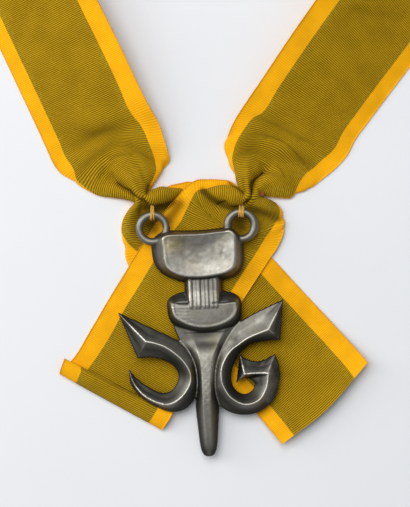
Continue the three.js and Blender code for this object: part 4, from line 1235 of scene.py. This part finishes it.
def grosgrain():
    material, tree, shader = new_material("ribbed_ribbon")
    weave = add_node(tree, "ShaderNodeUVMap", uv_map="weave").outputs[0]
    u, v = add_node(tree, "ShaderNodeSeparateXYZ", {0: weave}).outputs[:2]
    drift = noise_at(tree, scaled(tree, weave, (0.25, 0.5, 1)), 1.0)
    phase = math_node(tree, "MULTIPLY", v, 2 * math.pi / RIB)
    phase = math_node(tree, "MULTIPLY_ADD", drift, 1.2, phase)
    rib = math_node(tree, "MULTIPLY_ADD", math_node(tree, "SINE", phase), 0.5, 0.5)
    thread = noise_at(tree, scaled(tree, weave, (2.4, 1.6, 1)), 1.0, 2.0, 0.7)
    ragged = math_node(tree, "ADD", u, math_node(tree, "MULTIPLY_ADD", thread, 0.5, -0.25))
    border = beside_borders(tree, ragged, -BORDER_SOFT, BORDER_SOFT)
    speckle = noise_at(tree, scaled(tree, weave, (1.5, 1.3, 1)), 1.0, 1.0, 0.4)
    speckle = eased(tree, speckle, 0.50, 0.62)
    band = math_node(tree, "MULTIPLY", beside_borders(tree, ragged, *SPECKLED), speckle)
    # Painted groove shade and crown light along the ribs, for the olive and the yellow alike.
    olive = colour_mix(tree, rib, OLIVE_GROOVE_SHADE, OLIVE_CROWN_LIGHT)
    olive = colour_mix(tree, eased(tree, thread, 0.35, 0.7, 0.0, 0.5), olive, OLIVE_CORD)
    olive = colour_mix(tree, math_node(tree, "MULTIPLY", band, 0.45), olive, OLIVE_SPECK)
    yellow = colour_mix(tree, rib, YELLOW_GROOVE_SHADE, YELLOW_CROWN_LIGHT)
    yellow = colour_mix(tree, eased(tree, thread, 0.4, 0.75, 0.0, 0.4), yellow, YELLOW_CORD)
    shade = eased(tree, noise_at(tree, weave, 0.12, 2.0), 0.3, 0.7, 0.90, 1.06)
    # Painted shade: the creases, and the shade under the lips and rings, darken the colour here.
    deep = eased(tree, number_of(tree, "painted_crease_shade"), 0.0, 1.0, 1.0, 0.30)
    shade = math_node(tree, "MULTIPLY", shade, deep)
    inputs = {0: colour_mix(tree, border, olive, yellow), "Scale": shade}
    shaded = add_node(tree, "ShaderNodeVectorMath", inputs, operation="SCALE").outputs[0]
    ribbed = math_node(tree, "MULTIPLY", rib, eased(tree, border, 0.0, 1.0, 1.0, 0.5))
    height = math_node(tree, "MULTIPLY_ADD", thread, 0.35, ribbed)
    plug(tree, shader, {
        "Base Color": shaded, "Roughness": 0.78, "Specular IOR Level": 0.06,
        "Sheen Weight": 0.06, "Sheen Tint": (1.0, 0.75, 0.25, 1), "Sheen Roughness": 0.5,
        "Normal": bump(tree, height, 0.7, 0.0002)})
    return material


ribbon_mesh.materials.append(grosgrain())
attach(ribbon, "root")
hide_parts("ribbon_neck_loop", "ribbon_hemmed_tail", "ribbon_cut_tail")

# %% [markdown]
# ## The sewing thread
# Each gather is sewn to its ring with a few turns of thick yellow thread. The turns are all alike:
# one loop that goes round the ring's wire and up into the cloth, repeated side by side. That is a
# job for Geometry Nodes. The loop is the input, and the tree makes a tube along it, sets the
# copies in a row, shifts and tilts each a little, and turns the copies into real mesh.

# %% Trees with named inputs
TILT = (0.08, 0.08, 0.16)       # most that a turn of thread is tilted, in radians


def new_tree(name, inputs, output):
    """A geometry tree with named inputs of the given kinds, and the sockets they arrive at."""
    tree = bpy.data.node_groups.new(name, "GeometryNodeTree")
    for label, kind in inputs.items():
        tree.interface.new_socket(label, in_out="INPUT", socket_type="NodeSocket" + kind)
    tree.interface.new_socket(output, in_out="OUTPUT", socket_type="NodeSocketGeometry")
    return tree, add_node(tree, "NodeGroupInput").outputs


def end_tree(tree, copies, material):
    """Turns the copies into real mesh, gives it its material and sends it out."""
    real = add_node(tree, "GeometryNodeRealizeInstances", {0: copies}).outputs[0]
    inputs = {"Geometry": real, "Material": material}
    done = add_node(tree, "GeometryNodeSetMaterial", inputs).outputs[0]
    add_node(tree, "NodeGroupOutput", {0: done})


def random_vector(tree, low, high, seed):
    inputs = {0: low, 1: high, "Seed": seed}
    return add_node(tree, "FunctionNodeRandomValue", inputs, data_type="FLOAT_VECTOR").outputs[0]


# %% A tree that winds thread
def winding_tree():
    tree, start = new_tree("wound_thread", {
        "Loop": "Geometry", "Turns": "Int", "Spacing": "Float", "Thickness": "Float",
        "Looseness": "Float", "Seed": "Int", "Material": "Material"}, "Thread")
    curve = add_node(tree, "GeometryNodeMeshToCurve", {0: start["Loop"]}).outputs[0]
    inputs = {"Curve": curve, "Count": 40}
    curve = add_node(tree, "GeometryNodeResampleCurve", inputs).outputs[0]
    inputs = {"Resolution": 8, "Radius": math_node(tree, "MULTIPLY", start["Thickness"], 0.5)}
    profile = add_node(tree, "GeometryNodeCurvePrimitiveCircle", inputs).outputs[0]
    inputs = {"Curve": curve, "Profile Curve": profile}
    tube = add_node(tree, "GeometryNodeCurveToMesh", inputs).outputs[0]
    tube = add_node(tree, "GeometryNodeSetShadeSmooth", {"Geometry": tube}).outputs[0]
    first = math_node(tree, "MULTIPLY", math_node(tree, "SUBTRACT", start["Turns"], 1.0), -0.5)
    first = math_node(tree, "MULTIPLY", first, start["Spacing"])
    low = add_node(tree, "ShaderNodeCombineXYZ", {"X": first}).outputs[0]
    step = add_node(tree, "ShaderNodeCombineXYZ", {"X": start["Spacing"]}).outputs[0]
    inputs = {"Count": start["Turns"], "Start Location": low, "Offset": step}
    row = add_node(tree, "GeometryNodeMeshLine", inputs).outputs[0]
    loose, less = start["Looseness"], math_node(tree, "MULTIPLY", start["Looseness"], 0.3)
    most = add_node(tree, "ShaderNodeCombineXYZ", {"X": less, "Y": loose, "Z": loose}).outputs[0]
    inputs = {0: most, "Scale": -1.0}
    least = add_node(tree, "ShaderNodeVectorMath", inputs, operation="SCALE").outputs[0]
    shift = random_vector(tree, least, most, start["Seed"])
    inputs = {"Geometry": row, "Offset": shift}
    row = add_node(tree, "GeometryNodeSetPosition", inputs).outputs[0]
    tilt = random_vector(tree, [-angle for angle in TILT], TILT, start["Seed"])
    inputs = {"Points": row, "Instance": tube, "Rotation": tilt}
    turns = add_node(tree, "GeometryNodeInstanceOnPoints", inputs).outputs[0]
    end_tree(tree, turns, start["Material"])
    return tree


thread_tree = winding_tree()
print("nodes that wind thread:", len(thread_tree.nodes))

# %% [markdown]
# ### Winding it
# A modifier's inputs are set by their identifiers. The evaluated result becomes a plain mesh,
# which is then moved to its ring, and the modifier goes with the helper object.


# %% From tree to plain mesh
def evaluated_mesh(tree, points, closed, inputs, name):
    mesh = bpy.data.meshes.new("helper")
    count = len(points)
    links = [(i, (i + 1) % count) for i in range(count if closed else count - 1)]
    mesh.from_pydata([tuple(p) for p in points], links, [])
    helper = add_object("helper", mesh)
    modifier = helper.modifiers.new("nodes", "NODES")
    modifier.node_group = tree
    for item in tree.interface.items_tree:
        if item.item_type == "SOCKET" and item.in_out == "INPUT" and item.name in inputs:
            modifier[item.identifier] = inputs[item.name]
    graph = bpy.context.evaluated_depsgraph_get()
    result = bpy.data.meshes.new_from_object(helper.evaluated_get(graph))
    result.name = name
    bpy.data.objects.remove(helper)
    bpy.data.meshes.remove(mesh)
    return result


def twisted_thread(name, dark, light):
    """Thread whose plies run round it at a slant."""
    material, tree, shader = new_material(name)
    inputs = {"Vector": object_place(tree), "Rotation": (0.6, 0.4, 0.7)}
    slanted = add_node(tree, "ShaderNodeMapping", inputs).outputs[0]
    inputs = {"Vector": slanted, "Scale": 900.0, "Distortion": 1.5}
    ply = add_node(tree, "ShaderNodeTexWave", inputs).outputs[1]
    plug(tree, shader, {
        "Base Color": colour_mix(tree, ply, dark, light), "Roughness": 0.55,
        "Sheen Weight": 0.2, "Normal": bump(tree, ply, 0.4, 0.0001)})
    return material


def stretched_loop(reach, radius, lean, count=28):
    """A loop round the wire at the origin, which reaches some millimetres up into the cloth."""
    points = []
    for a in np.linspace(0, 2 * math.pi, count, endpoint=False):
        y, z = radius * math.cos(a), radius * math.sin(a)
        if y > 0:
            share = math.cos(a) ** 2
            y += reach * share
            z = z * (1 - 0.35 * share) + lean * share
        points.append((0.0, y, z))
    return np.array(points)


def wound(name, loop, sizes, turns, seed, material, place):
    """An object of thread wound turn beside turn along a loop. All sizes are in millimetres."""
    inputs = {label: size * MM for label, size in sizes.items()}
    inputs.update({"Turns": turns, "Seed": seed, "Material": material})
    mesh = evaluated_mesh(thread_tree, loop * MM, True, inputs, name)
    mesh.transform(Matrix.Translation(to_frame(place)))
    print(name, len(mesh.polygons), "faces")
    return mesh


# %% Thread on both rings
yellow_thread = twisted_thread("yellow_thread", (0.42, 0.20, 0.008, 1), (0.88, 0.50, 0.025, 1))
RING_THREAD = {"Spacing": 0.45, "Thickness": 0.55, "Looseness": 0.12}
LOOP_GAP, LOOP_LEAN = 0.26, -2.0        # room round the wire, and how far the loop's end sinks
SEWN = [("left", 3, 1.3, -0.2, 4), ("right", 4, 0.4, 0.1, 9)]   # side, turns, reach, shift, seed


def ring_top(side):
    centre = np.array((*RINGS[side], RING_HIGH))
    return badge_to_layout([centre])[0] + (0, RING, 0)


for side, turns, reach, shift, seed in SEWN:
    loop = stretched_loop(reach, WIRE + LOOP_GAP, LOOP_LEAN)
    place = ring_top(side) + (shift, 0, 0)
    mesh = wound("thread_" + side, loop, RING_THREAD, turns, seed, yellow_thread, place)
    sewn = add_object("thread_on_" + side, mesh)
    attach(sewn, "root")
    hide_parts("thread_" + side)

# %% [markdown]
# ### Small stitches
# The gather on the right is also caught with two small red-brown stitches. They are the same
# winding with a short loop and thinner thread, laid flat on the cloth.

# %% Two small stitches
red_thread = twisted_thread("red_thread", (0.14, 0.022, 0.003, 1), (0.45, 0.10, 0.008, 1))
STITCH_THREAD = {"Spacing": 0.4, "Thickness": 0.34, "Looseness": 0.15}
STITCH_LOOP = stretched_loop(0.5, 0.42, 0.0, count=16)
STITCHES = [  # name, place, turns, seed
    ("stitch_outer", (19.0, 19.6, 2.9), 3, 6), ("stitch_inner", (12.2, 16.6, 3.0), 2, 8)]

for name, place, turns, seed in STITCHES:
    mesh = wound(name, STITCH_LOOP, STITCH_THREAD, turns, seed, red_thread, place)
    stitch = add_object(name, mesh)
    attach(stitch, "root")

# %% [markdown]
# ### Loops along the selvedges
# Where the ribbon's cords turn round at its edges they leave a row of tiny loops, one for each
# rib, so the edges look toothed. Nobody would place some three thousand of them by hand, so a
# second tree walks along each edge and sets a bead of cord at every rib.


# %% A tree that beads an edge
BEAD, LEAST_BEAD = 0.3, 0.75    # radius, and the share of it that the smallest bead has


def beading_tree():
    tree, start = new_tree("beaded_edge", {
        "Edge": "Geometry", "Spacing": "Float", "Bead": "Float", "Seed": "Int",
        "Material": "Material"}, "Beads")
    curve = add_node(tree, "GeometryNodeMeshToCurve", {0: start["Edge"]}).outputs[0]
    inputs = {"Curve": curve, "Length": start["Spacing"]}
    dots = add_node(tree, "GeometryNodeCurveToPoints", inputs, mode="LENGTH").outputs[0]
    inputs = {"Radius": start["Bead"], "Subdivisions": 1}
    bead = add_node(tree, "GeometryNodeMeshIcoSphere", inputs).outputs[0]
    bead = add_node(tree, "GeometryNodeSetShadeSmooth", {"Geometry": bead}).outputs[0]
    inputs = {2: LEAST_BEAD, 3: 1.0, "Seed": start["Seed"]}
    size = add_node(tree, "FunctionNodeRandomValue", inputs, data_type="FLOAT").outputs[1]
    inputs = {"Points": dots, "Instance": bead, "Scale": size}
    beads = add_node(tree, "GeometryNodeInstanceOnPoints", inputs).outputs[0]
    end_tree(tree, beads, start["Material"])
    return tree


# %% Both edges
selvedge_cord = twisted_thread("selvedge_cord", (0.80, 0.30, 0.003, 1), (1.0, 0.48, 0.008, 1))
beads_tree = beading_tree()
for name, column, seed in (("selvedge_inner", 0, 12), ("selvedge_outer", -1, 13)):
    inputs = {"Spacing": RIB * MM, "Bead": BEAD * MM, "Seed": seed, "Material": selvedge_cord}
    mesh = evaluated_mesh(beads_tree, to_frame(grid[:, column]), False, inputs, name)
    beads = add_object(name, mesh)
    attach(beads, "root")
    print(name, triangles_in(mesh), "triangles")
